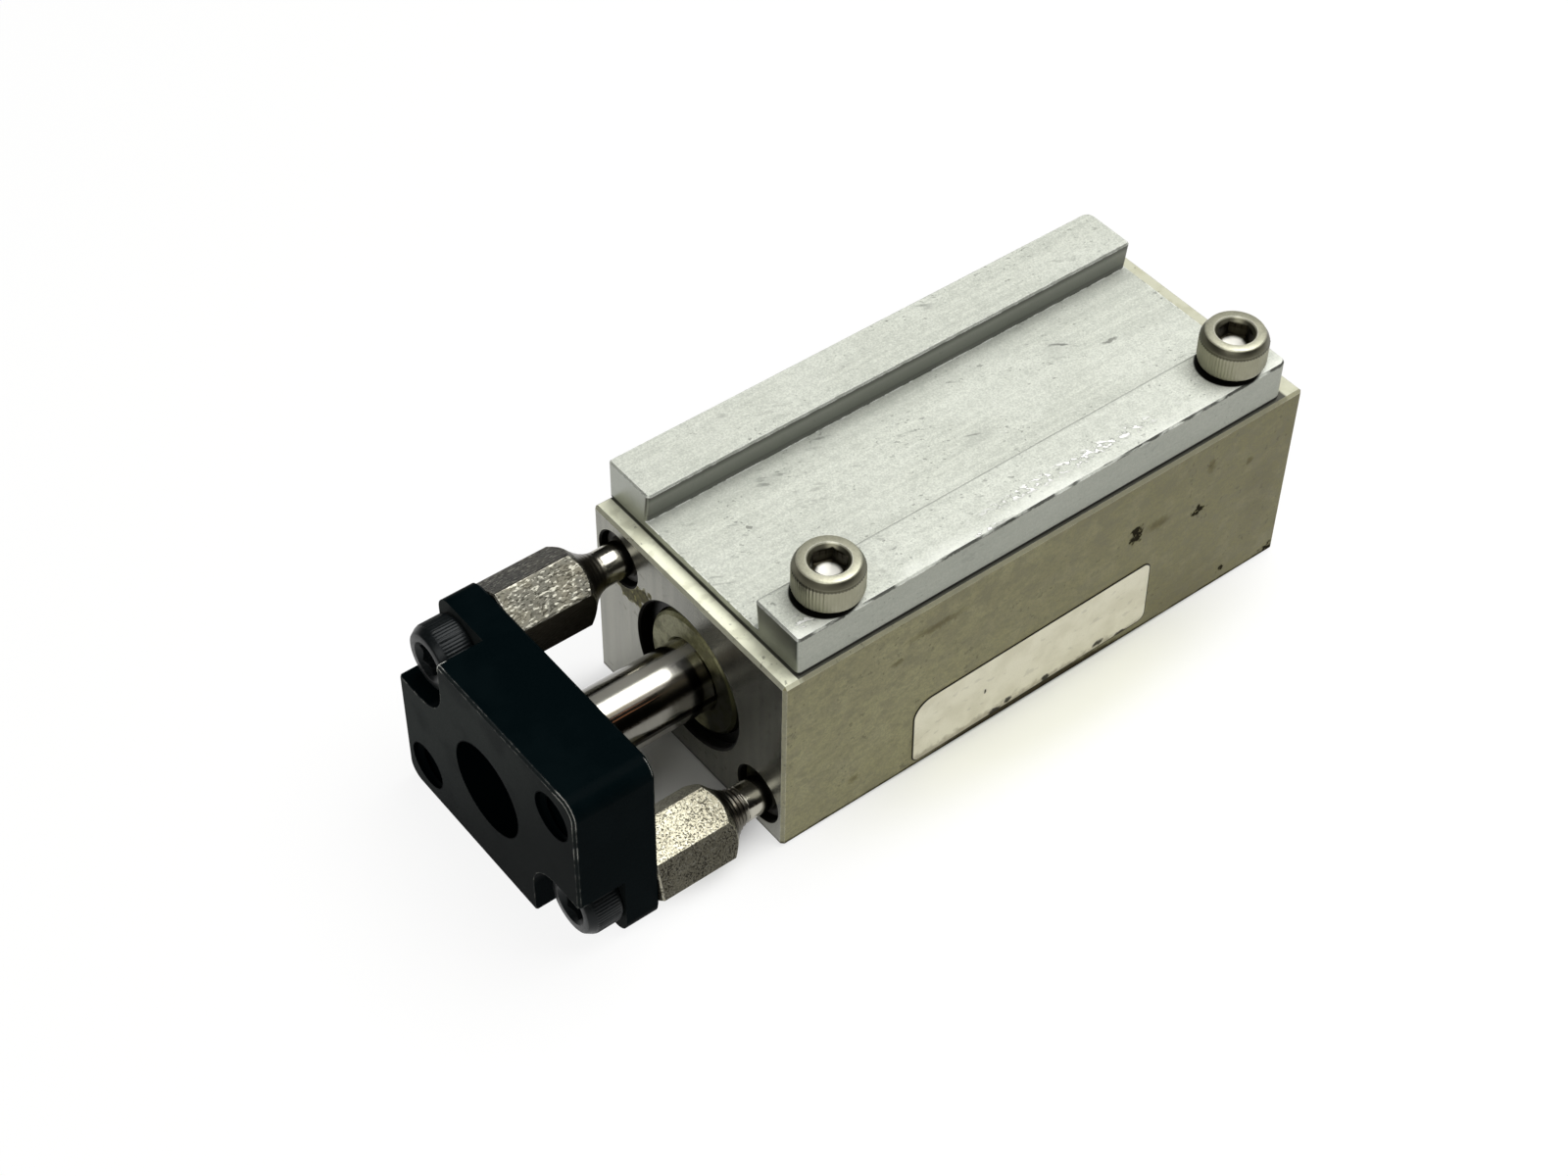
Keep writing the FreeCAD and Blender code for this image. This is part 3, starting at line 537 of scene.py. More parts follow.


# Finishes; dark marks, dirt and painted shade alike, are set metallic, which takes their grey sheen off

def champagne_anodised_aluminium():
    """Hard anodised block, greyish champagne: satin sides with stains and chips, darker machined end faces.

    The oxide scatters most of the light, so the sides are hardly metallic; the ends are faced off and
    mirror the table. Edges are rubbed bright. The top is painted lighter as painted light, brightest on the
    strip in front of the channel plate. The mouths of the holes and the join with the channel plate are
    painted near black as painted shade, and a dark band runs along the foot, taller below the label.
    """
    material, tree, shader, place = finish("champagne_anodised_aluminium")
    side = body_high[1]
    rough_place = ragged(place, 0.45, 0.4)
    torn_place = ragged(place, 0.7, 1.0)
    flakes = blotches(place, 0.42, 0.33, 0.42)
    ends = facing(tree, ALONG)
    near_side = facing(tree, ACROSS)
    top = facing(tree, UP)
    smear = blotches(place, 9.0, 0.35, 0.65)
    clouds = blotches(place, 3.2, 0.44, 0.62, detail=6.0)
    light_clouds = blotches(place, 2.3, 0.5, 0.64, detail=6.0)
    mottle = blotches(place, 1.5, 0.48, 0.62, detail=5.0)
    fine_mottle = blotches(place, 0.5, 0.44, 0.66, stretch=(0.6, 1, 1))
    grain = blotches(place, 0.16, 0.36, 0.66, detail=1.0)
    specks = blotches(place, 0.5, 0.63, 0.69)
    patches = blotches(place, 5.0, 0.46, 0.58)
    streaks = blotches(place, 0.9, 0.36, 0.66, stretch=(1, 1, 0.05))
    edge = worn_edge(tree, 0.2)
    edge_patches = blotches(place, 1.2, 0.3, 0.55)
    upper = past(place, UP, 6.0, 16.0)
    foot = past(ragged(place, 1.2, 0.15), UP, 0.6, 0.32)
    rear = past(place, ALONG, 14.0, -30.0)
    front_strip = past(place, ALONG, 15.0, 15.3)
    seam_front = past(place, ALONG, 15.5, 15.42)
    seam_rear = past(place, ALONG, -33.6, -33.3)
    holes = marks(place, spots_on(ALONG, body_high[0], BLOCK_HOLE_REACH, [
        (0.0, ROD_HEIGHT, BORE_MOUTH, BORE_MOUTH),
        (upper_axis[1], upper_axis[2], BUSH_MOUTH, BUSH_MOUTH),
        (lower_axis[1], lower_axis[2], BUSH_MOUTH, BUSH_MOUTH),
    ]), soft=0.02)
    upper_chips = spots_on(ACROSS, side, 2.5, [(-18.0, 12.2, 0.85, 1.05), (-24.7, 10.8, 0.6, 0.6)])
    foot_chips = spots_on(ACROSS, side, 2.0, [(-28.9, 1.5, 0.6, 0.4), (-34.4, 0.5, 0.9, 0.7)])
    chips = marks(torn_place, upper_chips + foot_chips)
    strip = spots_on(ACROSS, side, 2.0, [(-8.0, 0.0, 13.5, 1.15)])
    label_dirt = marks(ragged(place, 0.6, 0.25), strip, soft=0.3)
    stains = marks(rough_place, spots_on(ACROSS, side, 2.0, [
        (6.2, 13.7, 0.9, 0.5),
        (2.4, 15.3, 4.2, 0.6),
        (-20.3, 12.0, 1.8, 0.8),
        (-25.6, 15.2, 0.6, 1.1),
        (10.1, 3.1, 0.8, 0.6),
        (-30.1, 13.1, 0.5, 0.5),
    ]), soft=0.8)
    shade = marks(ragged(place, 3.0, 2.0), spots_on(ACROSS, side, 4.0, [
        (-24.5, 2.5, 7.0, 6.0),
        (-32.0, 8.0, 3.0, 8.0),
    ]), soft=0.95)
    crust = marks(torn_place, spots_on(ALONG, body_high[0], 3.0, [
        (-7.9, 12.2, 1.1, 1.3),
        (-6.6, 12.2, 1.4, 1.2),
        (-5.4, 13.1, 1.1, 0.9),
    ]), soft=0.3)
    coat(shader, "Base Color", "#8E8A62", [
        (0.40, smear, "#9A966F"),
        (0.68, rear, "#6C6639"),
        (0.24, clouds, upper, "#605839"),
        (0.16, light_clouds, "#A5A180"),
        (0.32, mottle, upper, "#69623F"),
        (0.26, mottle, "#716C4C"),
        (0.42, fine_mottle, "#6B6748"),
        (0.36, grain, "#66624A"),
        # The top is painted lighter as painted light, brightest on the strip in front of the channel plate
        (0.88, top, "#CFCFB9"),
        (0.95, top, front_strip, "#F8F9DF"),
        (0.30, top, mottle, "#A5A384"),
        (0.90, ends, "#8F8F87"),
        (0.35, ends, streaks, "#70706A"),
        (0.26, shade, "#4E4628"),
        (0.48, stains, "#5A5138"),
        # A darker band along the foot, taller below the label
        (0.85, label_dirt, "#3A3220"),
        (0.85, foot, "#2A2518"),
        (0.50, specks, patches, "#494229"),
        (0.94, crust, ends, "#C4BD72"),
        (0.75, crust, ends, fine_mottle, "#4C472B"),
        (0.45, crust, ends, mottle, "#6E6A45"),
        (0.40, crust, ends, grain, "#6E6738"),
        (0.70, crust, ends, flakes, "#2E2A18"),
        (0.94, chips, flakes, near_side, "#1F190A"),
        (0.75, edge, edge_patches, "#D6D4C2"),
        # Painted shade in the join under the channel plate
        (0.90, top, seam_front, seam_rear, "#181712"),
        # Painted shade in the mouths of the holes
        (0.98, holes, "#0B0A08"),
    ])
    coat(shader, "Metallic", 0.1, [
        (1.0, ends, 0.85),
        (1.0, chips, flakes, 1.0),
        (0.3, stains, 1.0),
        (0.9, label_dirt, 1.0),
        (1.0, foot, 1.0),
        (1.0, crust, 0.0),
        (1.0, holes, 1.0),
    ])
    coat(shader, "Roughness", 0.55, [
        (0.3, mottle, 0.4),
        (1.0, chips, 0.9),
        (0.9, label_dirt, 0.9),
        (1.0, foot, 0.9),
        (0.8, stains, 0.8),
        (1.0, ends, 0.27),
        (1.0, crust, 0.7),
        (1.0, holes, 0.6),
    ])
    relief = overlay(tree, 0.5, [(0.5, grain, 0.0), (1.0, chips, near_side, -0.8), (1.0, crust, 3.0)])
    bump = node(tree, "Bump", {"Height": relief, "Distance": 0.012 * MM, "Strength": 0.6})
    tree.links.new(bump.outputs[0], shader.inputs["Normal"])
    return material


def clear_anodised_aluminium():
    """Clear anodised milled aluminium: pale satin grey, sandy, with fine lines along the cut and scuffs.

    A row of dents runs along the near flange, where something has rubbed, each given a painted highlight
    and painted shade; the flange is pale along its near edge and has a broken dark line just below it.
    The cut ends mirror more than the top does. Faces towards the near side are painted darker as painted
    shade, the near flange's front end darker still, and the far wall is darker under its top edge and
    towards its foot, near black in the corner, with painted shadow on the floor beside it. Painted shadow
    also lies under each screw's head and in the join with the block.
    """
    material, tree, shader, place = finish("clear_anodised_aluminium")
    rough_place = ragged(place, 0.5, 0.3)
    slant = (0, 0, math.radians(SCUFF_SLANT))
    slanted = node(tree, "Mapping", {"Vector": place, "Rotation": slant}).outputs[0]
    ends = facing(tree, ALONG)
    sides = facing(tree, ACROSS)
    up = facing(tree, UP)
    outer = facing(tree, ACROSS, 0.3, 0.5)
    lines = blotches(place, 0.35, 0.36, 0.64, stretch=(0.03, 1, 1))
    smear = blotches(place, 5.0, 0.4, 0.65, stretch=(0.5, 1, 1))
    mottle = blotches(place, 0.9, 0.45, 0.64, detail=5.0)
    grain = blotches(place, 0.15, 0.4, 0.62, detail=1.0)
    sparkle = blotches(place, 0.2, 0.55, 0.68, detail=1.0)
    scuffs = blotches(slanted, 0.5, 0.56, 0.63, stretch=(0.22, 1, 1))
    scuff_patches = blotches(place, 3.5, 0.56, 0.66)
    specks = blotches(slanted, 0.3, 0.64, 0.68, stretch=(0.6, 1, 1))
    speck_patches = blotches(place, 4.5, 0.42, 0.58)
    band_patches = blotches(place, 3.0, 0.34, 0.6, stretch=(0.4, 1, 1), detail=6.0)
    edge = worn_edge(tree, 0.26)
    edge_patches = blotches(place, 0.9, 0.4, 0.55)
    dark_patches = blotches(place, 0.7, 0.56, 0.62)
    seam = past(place, UP, 18.42, 18.36)
    far = past(place, ACROSS, -4.0, -5.0)
    near = past(place, ACROSS, 4.0, 5.0)
    wall_fall = past(place, UP, 21.7, 19.3)
    wall_top = past(place, UP, 20.9, 21.6)
    near_band = past(ragged(place, 0.6, 0.6), ACROSS, 9.7, 11.1)
    near_line = past(ragged(place, 0.3, 0.12), UP, 21.55, 21.66)
    line_patches = blotches(place, 0.9, 0.42, 0.56, stretch=(0.35, 1, 1), detail=6.0)
    corner = past(place, UP, 19.75, 19.2)
    floor = past(place, UP, 19.6, 19.3)
    wall_shade = past(ragged(place, 2.0, 0.4), ACROSS, -3.2, -7.0)
    lip_start = past(place, ACROSS, 6.15, 6.22)
    lip_end = past(place, ACROSS, 6.55, 6.45)
    heads = marks(place, spots_on(UP, FLANGE_TOP, 1.0, [
        (along + 0.22, rail_across - 0.1, 2.72, 2.72) for along in rail_places
    ]), soft=0.06)
    rubbed = marks(rough_place, spots_on(UP, FLANGE_TOP, 0.6, [
        (-12.5, 9.6, 12.0, 0.7),
        (-2.6, 11.0, 1.8, 0.3),
        (13.6, 9.9, 1.3, 0.9),
    ]))
    dents = blotches(slanted, 0.42, 0.54, 0.57, stretch=(0.6, 1, 1))
    dent_shade = blotches(slanted, 0.42, 0.49, 0.54, stretch=(0.6, 1, 1))
    flange_bruise = ((-3.8, 11.2, 21.7), (1.6, 0.35, 0.5))
    floor_bruises = spots_on(UP, CHANNEL_FLOOR, 0.5, [(9.6, -1.9, 0.25, 0.25), (-26.0, -1.0, 0.9, 0.3)])
    bruises = marks(rough_place, [flange_bruise] + floor_bruises)
    smudges = marks(rough_place, spots_on(UP, CHANNEL_FLOOR, 0.5, [
        (-10.5, 1.1, 2.2, 1.2),
        (5.3, -4.95, 2.0, 1.0),
        (-0.3, -6.0, 2.0, 0.9),
        (-22.0, -3.0, 3.0, 1.6),
    ]), soft=0.9)
    coat(shader, "Base Color", "#D3D6CA", [
        (0.34, lines, "#B1B5AA"),
        (0.40, smear, "#E2E5DA"),
        (0.20, mottle, "#A7ABA1"),
        (0.28, grain, "#969A91"),
        (0.25, sparkle, "#F2F4EB"),
        (0.42, scuffs, scuff_patches, "#7C7F78"),
        (0.65, specks, speck_patches, "#74776F"),
        (0.75, scuffs, smudges, "#5C5E58"),
        (0.25, smudges, "#9A9D95"),
        (0.65, bruises, "#55564F"),
        # Painted shade on faces towards the near side, on the far wall, in its corner and on the floor by it
        (0.66, sides, "#95988F"),
        (0.60, sides, far, "#6F726A"),
        (0.70, sides, far, wall_fall, "#55574F"),
        (0.75, sides, far, wall_top, "#3A3B35"),
        (0.92, sides, far, corner, "#12120F"),
        (0.45, floor, wall_shade, "#868981"),
        (0.90, ends, "#989B92"),
        # The near flange's front end is painted darker as painted shade
        (0.60, ends, near, "#5E615A"),
        (0.55, up, near_band, band_patches, "#F6F8EF"),
        # Each dent gets painted shade on one side and a painted highlight on the other
        (0.70, rubbed, dent_shade, "#7C7E76"),
        (0.95, rubbed, dents, "#FAFAF6"),
        (0.85, edge, edge_patches, "#F6F7F2"),
        (0.70, edge, dark_patches, "#3C3D37"),
        (0.75, outer, near, near_line, line_patches, "#24231E"),
        (0.55, lip_start, lip_end, "#7B7E77"),
        # Painted shadow under each screw's head
        (0.97, heads, "#0F0E0C"),
        # Painted shade in the join with the block
        (0.95, seam, "#12110F"),
    ])
    coat(shader, "Metallic", 0.25, [
        (1.0, ends, 0.8),
        (1.0, seam, 1.0),
        (1.0, heads, 1.0),
        (1.0, outer, near, near_line, line_patches, 1.0),
    ])
    coat(shader, "Roughness", 0.55, [(0.4, smear, 0.45), (1.0, ends, 0.3)])
    relief = overlay(tree, 0.5, [(0.6, grain, 0.0), (0.4, lines, 0.0), (1.0, rubbed, dents, -2.5)])
    bump = node(tree, "Bump", {"Height": relief, "Distance": 0.012 * MM, "Strength": 0.6})
    tree.links.new(bump.outputs[0], shader.inputs["Normal"])
    return material


def black_anodised_aluminium():
    """Black dyed anodised plate: deep matt black with a cold tint, the front painted greyer.

    The front's grey is a painted reflection of the table; its darker lower near side is painted shade.
    Bare metal shows in dashes along the front edges, at the near upper corner and where a notch was nicked.
    """
    material, tree, shader, place = finish("black_anodised_aluminium", Specular_IOR_Level=0.005)
    rough_place = ragged(place, 0.5, 0.25)
    front = facing(tree, ALONG)
    near_and_down = (0, 0.7, -0.7)
    lower = past(place, near_and_down, -12.0, -1.0)
    grain = blotches(place, 0.14, 0.35, 0.7, detail=1.0)
    smear = blotches(place, 4.0, 0.45, 0.7)
    edge = worn_edge(tree, 0.2, 0.03, 0.15)
    dashes = blotches(place, 0.8, 0.5, 0.58)
    knocks = marks(rough_place, [
        ((plate_high[0], 10.6, 17.0), (1.2, 1.8, 2.2)),
        ((plate_high[0], -5.5, 17.6), (0.9, 0.9, 0.6)),
        ((plate_high[0], 11.5, 13.0), (0.5, 0.5, 0.8)),
        ((28.3, 11.2, 17.4), (0.5, 0.9, 0.9)),
    ], soft=0.3)
    front_edges = past(place, ALONG, 34.2, 34.8)
    holes = marks(place, spots_on(ALONG, plate_high[0], PLATE_HOLE_REACH, [
        (0.0, ROD_HEIGHT, PLATE_BORE_MOUTH, PLATE_BORE_MOUTH),
        (-upper_axis[1], upper_axis[2], TOOL_HOLE_MOUTH, TOOL_HOLE_MOUTH),
        (-lower_axis[1], lower_axis[2], TOOL_HOLE_MOUTH, TOOL_HOLE_MOUTH),
    ]), soft=0.02)
    coat(shader, "Base Color", "#030A0C", [
        (0.40, grain, "#060D0F"),
        (0.40, smear, "#091113"),
        # The front is painted grey as a painted reflection of the table, darker low on the near side as
        # painted shade
        (0.90, front, "#313534"),
        (0.40, front, grain, "#383B3B"),
        (0.50, front, smear, "#191C1D"),
        (0.85, front, lower, "#0E1212"),
        (0.32, edge, front_edges, "#6A6D6C"),
        (0.40, edge, dashes, front_edges, "#A9AAA3"),
        (0.90, edge, knocks, "#DADBD4"),
        # Painted shade in the mouths of the holes
        (1.00, holes, "#020607"),
    ])
    coat(shader, "Roughness", 0.3, [(0.4, smear, 0.4), (1.0, front, 0.45)])
    bump = node(tree, "Bump", {"Height": grain, "Distance": 0.006 * MM, "Strength": 0.5})
    tree.links.new(bump.outputs[0], shader.inputs["Normal"])
    return material


def rolled_stainless_steel():
    """Cold headed stainless screws: olive grey, dulled by oil so that they are only partly metallic.

    The rim is rubbed bright and given a painted highlight; the shoulder below it and the crease under that
    are painted dark as painted shade and a painted dark reflection. The socket's walls are painted dark as
    painted shade, and its floor is painted nearly white as painted light.
    """
    material, tree, shader, place = finish("rolled_stainless_steel")
    smear = blotches(place, 0.9, 0.4, 0.65)
    grain = blotches(place, 0.16, 0.4, 0.66, detail=1.0)
    edge = worn_edge(tree, 0.14, 0.01, 0.08)
    top = rail_screw_high[2]
    rim = past(place, UP, top - 0.16, top - 0.1)
    flank = past(place, UP, top - 0.06, top - 0.14)
    shoulder = past(place, UP, top - 0.72, top - 0.5)
    line_top = past(place, UP, top - 0.56, top - 0.64)
    line_foot = past(place, UP, top - 0.84, top - 0.76)
    deep = past(place, UP, top - 0.26, top - 0.4)
    mouths = [(along, rail_across, 1.64, 1.64) for along in rail_places]
    sockets = marks(place, spots_on(UP, top, 8.0, mouths), soft=0.02)
    wiped = [(along - 0.1, rail_across - 0.1, 1.15, 1.15) for along in rail_places]
    floors = marks(place, spots_on(UP, top - 1.75, 0.6, wiped), soft=0.35)
    coat(shader, "Base Color", "#BBBAA4", [
        (0.25, smear, "#A4A18A"),
        (0.25, grain, "#8C8975"),
        (0.90, flank, "#918F7B"),
        # The shoulder and the crease below it are painted dark: painted shade and a painted dark reflection
        (0.60, flank, shoulder, "#413E30"),
        (0.70, line_top, line_foot, "#2E2A20"),
        # The rim's bright edge is partly wear and partly a painted highlight
        (0.85, edge, rim, "#F8F6EC"),
        # Painted shade on the socket's walls and painted light on its floor
        (0.96, sockets, deep, "#1B170C"),
        (0.98, floors, "#F6F4EA"),
    ])
    coat(shader, "Metallic", 0.55, [(1.0, flank, 0.97), (1.0, floors, 0.1)])
    coat(shader, "Roughness", 0.36, [(1.0, smear, 0.44)])
    return material


def black_oxide_steel(name, metal, ground, speck):
    """Blackened alloy steel screws and rings: oily black, grey where the rim and knurl are rubbed."""
    material, tree, shader, place = finish(name, Metallic=metal, Specular_IOR_Level=0.22)
    grain = blotches(place, 0.15, 0.4, 0.7)
    edge = worn_edge(tree, 0.12, 0.03, 0.25)
    edge_patches = blotches(place, 0.8, 0.35, 0.6)
    coat(shader, "Base Color", ground, [
        (0.40, grain, speck),
        (0.55, edge, edge_patches, "#77756F"),
    ])
    coat(shader, "Roughness", 0.34, [(1.0, grain, 0.44)])
    return material


def pitted_hexagon_steel(name, pit_stretch, ground, pit_strength, oil_strength):
    """Drawn hexagon bar with its pickled skin: rough grey steel with dark pits, neck and pin turned smooth.

    The pits are a little coarser than the real ones, which are too fine to show. Oil has browned the neck.
    The outer flats are painted dark as a painted dark reflection, and the bar's edges are rubbed bright.
    """
    material, tree, shader, place = finish(name, Metallic=1.0)
    bar = past(place, ALONG, 20.7, 20.9)
    neck = past(place, ALONG, 18.4, 19.2)
    outer = facing(tree, ACROSS, 0.75, 0.95)
    pits = blotches(place, 0.15, 0.5, 0.6, stretch=pit_stretch, detail=2.0)
    pit_patches = blotches(place, 1.1, 0.25, 0.55)
    grain = blotches(place, 0.13, 0.4, 0.65, detail=1.0)
    glints = blotches(place, 0.22, 0.45, 0.36, stretch=pit_stretch, detail=2.0)
    smear = blotches(place, 1.5, 0.4, 0.65)
    edge = worn_edge(tree, 0.18, 0.02, 0.1)
    edge_patches = blotches(place, 0.7, 0.35, 0.55)
    coat(shader, "Base Color", "#B3B0A4", [
        (0.85, neck, "#423F37"),
        (0.30, neck, smear, "#564A3A"),
        (1.00, bar, ground),
        (0.35, bar, smear, "#7A7563"),
        (0.40, bar, grain, "#55524A"),
        (0.55, bar, glints, "#C9C7B8"),
        # The outer flats are painted dark, a painted dark reflection
        (oil_strength, bar, outer, "#1E1A13"),
        (pit_strength, bar, pits, pit_patches, "#1A1710"),
        (0.70, bar, edge, edge_patches, "#DAD7CA"),
    ])
    coat(shader, "Roughness", 0.18, [(1.0, neck, 0.3), (1.0, bar, 0.44)])
    relief = overlay(tree, 0.5, [(1.0, bar, pits, 0.0), (0.4, bar, grain, 0.0)])
    bump = node(tree, "Bump", {"Height": relief, "Distance": 0.02 * MM, "Strength": 0.7})
    tree.links.new(bump.outputs[0], shader.inputs["Normal"])
    return material


def hard_chromed_steel():
    """Ground and hard chromed rod: bright, a little veiled by fine rings, with old grease smeared along it.

    Above its highlight a pale, dulled band is a painted glow; below it lies a dark streak, a painted
    dark reflection, with thin brown grease lines. Two darker bands are painted dark reflections too.
    """
    material, _, shader, place = finish("hard_chromed_steel")
    wavy = ragged(place, 3.0, 0.1)
    rings = blotches(place, 0.12, 0.35, 0.65, stretch=(1, 0.05, 0.05))
    stain = blotches(place, 1.6, 0.45, 0.65, stretch=(0.3, 1, 1))
    streaks = blotches(place, 0.3, 0.42, 0.6, stretch=(0.05, 1, 1))
    film = marks(wavy, spots_on(ALONG, ROD_MIDDLE, ROD_REACH, [
        (2.02, 11.21, 1.06, 1.06),
        (3.0, 9.0, 0.45, 0.45),
    ]), soft=0.35)
    veil = marks(wavy, spots_on(ALONG, ROD_MIDDLE, ROD_REACH, [
        (2.85, 9.93, 0.8, 0.8),
        (-1.93, 11.3, 1.0, 1.0),
    ]))
    haze = marks(wavy, spots_on(ALONG, ROD_MIDDLE, ROD_REACH, [(-0.02, 12.0, 0.85, 0.85)]), soft=0.65)
    grease = marks(wavy, [
        ((25.0, 1.93, 11.3), (6.0, 0.08, 0.08)),
        ((24.5, 1.72, 11.46), (4.0, 0.05, 0.05)),
    ], soft=0.7)
    coat(shader, "Base Color", "#C6C4BB", [
        (0.15, rings, "#A9A69D"),
        (0.30, stain, "#968E7A"),
        # Painted dark reflections and a painted glow, in bands along the rod
        (0.90, veil, "#6B6962"),
        (0.78, haze, "#86847A"),
        (0.93, film, "#1E180F"),
        (0.35, film, streaks, "#4E4738"),
        (0.75, grease, "#7C4A2A"),
    ])
    coat(shader, "Metallic", 1.0, [(0.7, haze, 0.15), (0.8, grease, 0.0)])
    coat(shader, "Roughness", 0.13, [(1.0, rings, 0.19)])
    return material


def turned_bearing_alloy(name, ground, shade):
    """Turned bearing alloy, dulled and stained with dirty oil, so that it is only dimly metallic.

    Towards the near side below the rod it is painted near black, partly dirt and partly painted shade.
    """
    material, _, shader, place = finish(name)
    smear = blotches(place, 1.3, 0.42, 0.6, detail=5.0)
    grain = blotches(place, 0.2, 0.42, 0.66)
    dirt = marks(ragged(place, 1.0, 0.8), [((17.0, 5.2, 7.2), (8.0, 4.6, 6.6))], soft=0.3)
    coat(shader, "Base Color", ground, [
        (0.60, smear, shade),
        (0.45, grain, shade),
        # Near black towards the near side below the rod: dirt and painted shade
        (0.92, dirt, "#23231A"),
        (0.50, dirt, smear, "#4A4A2C"),
    ])
    coat(shader, "Metallic", 0.35, [(0.9, dirt, 1.0)])
    coat(shader, "Roughness", 0.42, [(1.0, smear, 0.55)])
    return material


def turned_aluminium():
    """Plain turned aluminium: bright grey, a little cloudy."""
    material, _, shader, place = finish("turned_aluminium", Metallic=1.0)
    smear = blotches(place, 2.0, 0.4, 0.65)
    grain = blotches(place, 0.12, 0.4, 0.7)
    coat(shader, "Base Color", "#BDBDB7", [
        (0.35, smear, "#A6A69F"),
        (0.25, grain, "#8B8B85"),
    ])
    coat(shader, "Roughness", 0.3, [(1.0, smear, 0.42)])
    return material


def moulded_nitrile_rubber():
    """Moulded nitrile rubber: matt black with a faint bloom."""
    material, _, shader, place = finish("moulded_nitrile_rubber")
    bloom = blotches(place, 0.8, 0.4, 0.7)
    coat(shader, "Base Color", "#131313", [(0.5, bloom, "#1D1D1C")])
    coat(shader, "Roughness", 0.5, [(1.0, bloom, 0.65)])
    return material


def filled_plastic_strip():
    """Plastic strip filled with bronze powder: brown, dull and finely speckled."""
    material, _, shader, place = finish("filled_plastic_strip")
    flecks = blotches(place, 0.1, 0.5, 0.65)
    coat(shader, "Base Color", "#5A4630", [(0.5, flecks, "#7D6544")])
    coat(shader, "Roughness", 0.5, [(1.0, flecks, 0.6)])
    return material


def yellowed_film_label():
    """Bare film label, yellowed white: grey scuffs, a dark line round its rim and grime along its foot."""
    material, tree, shader, place = finish("yellowed_film_label", Roughness=0.5)
    rough_place = ragged(place, 0.5, 0.25)
    edge = node(tree, "Attribute", attribute_name="rim").outputs["Fac"]
    rim = node(tree, "MapRange", {"Value": edge, "From Min": 0.05, "From Max": 0.3}).outputs[0]
    smear = blotches(place, 3.0, 0.4, 0.65)
    scuffs = blotches(place, 0.7, 0.6, 0.7, stretch=(0.6, 1, 1))
    grain = blotches(place, 0.16, 0.4, 0.7, detail=1.0)
    grime = past(ragged(place, 0.6, 0.6), UP, 1.8, 1.0)
    dots = marks(rough_place, spots_on(ACROSS, LABEL_FACE, 1.0, [
        (-5.55, 1.35, 0.5, 0.4),
        (-4.2, 1.05, 0.8, 0.3),
        (-9.5, 1.3, 0.6, 0.5),
        (-15.1, 1.6, 0.8, 0.4),
        (-17.6, 1.2, 0.9, 0.35),
        (-3.0, 4.1, 0.18, 0.3),
    ]))
    coat(shader, "Base Color", "#F1EDD8", [
        (0.60, smear, "#DAD5BC"),
        (0.10, grain, "#C9C4AE"),
        (0.22, scuffs, "#8F8A76"),
        (0.60, grime, "#7A6E50"),
        (0.95, dots, "#1E1A10"),
        (0.97, rim, "#1C180E"),
    ])
    coat(shader, "Metallic", 0.0, [(1.0, dots, 1.0), (1.0, rim, 1.0)])
    return material


FINISHES = {
    "body_anodised": champagne_anodised_aluminium(),
    "channel_anodised": clear_anodised_aluminium(),
    "stainless_screw": rolled_stainless_steel(),
    "bearing_alloy": turned_bearing_alloy("turned_bearing_alloy", "#98966E", "#5C5A3C"),
    "seal_rubber": moulded_nitrile_rubber(),
    "black_oxide_steel": black_oxide_steel("black_oxide_steel", 0.3, "#101415", "#1E2224"),
    "chromed_rod": hard_chromed_steel(),
    "hexagon_steel": pitted_hexagon_steel("pitted_hexagon_steel", (0.45, 1, 1), "#5A5951", 0.72, 0.96),
    "piston_aluminium": turned_aluminium(),
    "wear_strip": filled_plastic_strip(),
    "black_anodised": black_anodised_aluminium(),
}


# Pieces of the part

def dress_frame():
    """Give each frame solid its slot's finish; bushes and ring are black with oil and painted shade."""
    # Bushes and ring are near black: oil, and painted shade for their places deep in the holes
    oily = turned_bearing_alloy("oily_shaded_bearing_alloy", "#2A271E", "#131210")
    oiled = black_oxide_steel("oiled_shaded_black_oxide_steel", 1.0, "#0B0B08", "#1A1A15")
    own = {"guide_bush_upper": oily, "guide_bush_lower": oily, "rod_cover_retaining_ring": oiled}
    for subpart in frame["record"]["subparts"]:
        solid = frame["nodes"][subpart["node"]]
        for slot in solid.material_slots:
            slot.material = own.get(subpart["node"], FINISHES[subpart["material_slot"]])


def rail_screws():
    """Two bright cap screws through the near flange of the channel plate."""
    top = rail_screw_high[2]
    tip = rail_screw_low[2] - top
    grids = [
        cap_screw((along, rail_across, top), UP, ALONG, tip, turn)
        for along, turn in zip(rail_places, RAIL_SCREW_TURNS)
    ]
    piece = skin("rail_cap_screws", grids, "housing", FINISHES["stainless_screw"])
    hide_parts("channel_plate_screws")


def plate_screws():
    """Two black cap screws in the notches of the front plate."""
    top = plate_screw_high[0]
    tip = plate_screw_low[0] - top
    grids = [
        cap_screw((top, axis[1], axis[2]), ALONG, ACROSS, tip, turn)
        for axis, turn in zip((upper_axis, lower_axis), PLATE_SCREW_TURNS)
    ]
    piece = skin("plate_cap_screws", grids, "slide", FINISHES["black_oxide_steel"])
    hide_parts("front_plate_screws")


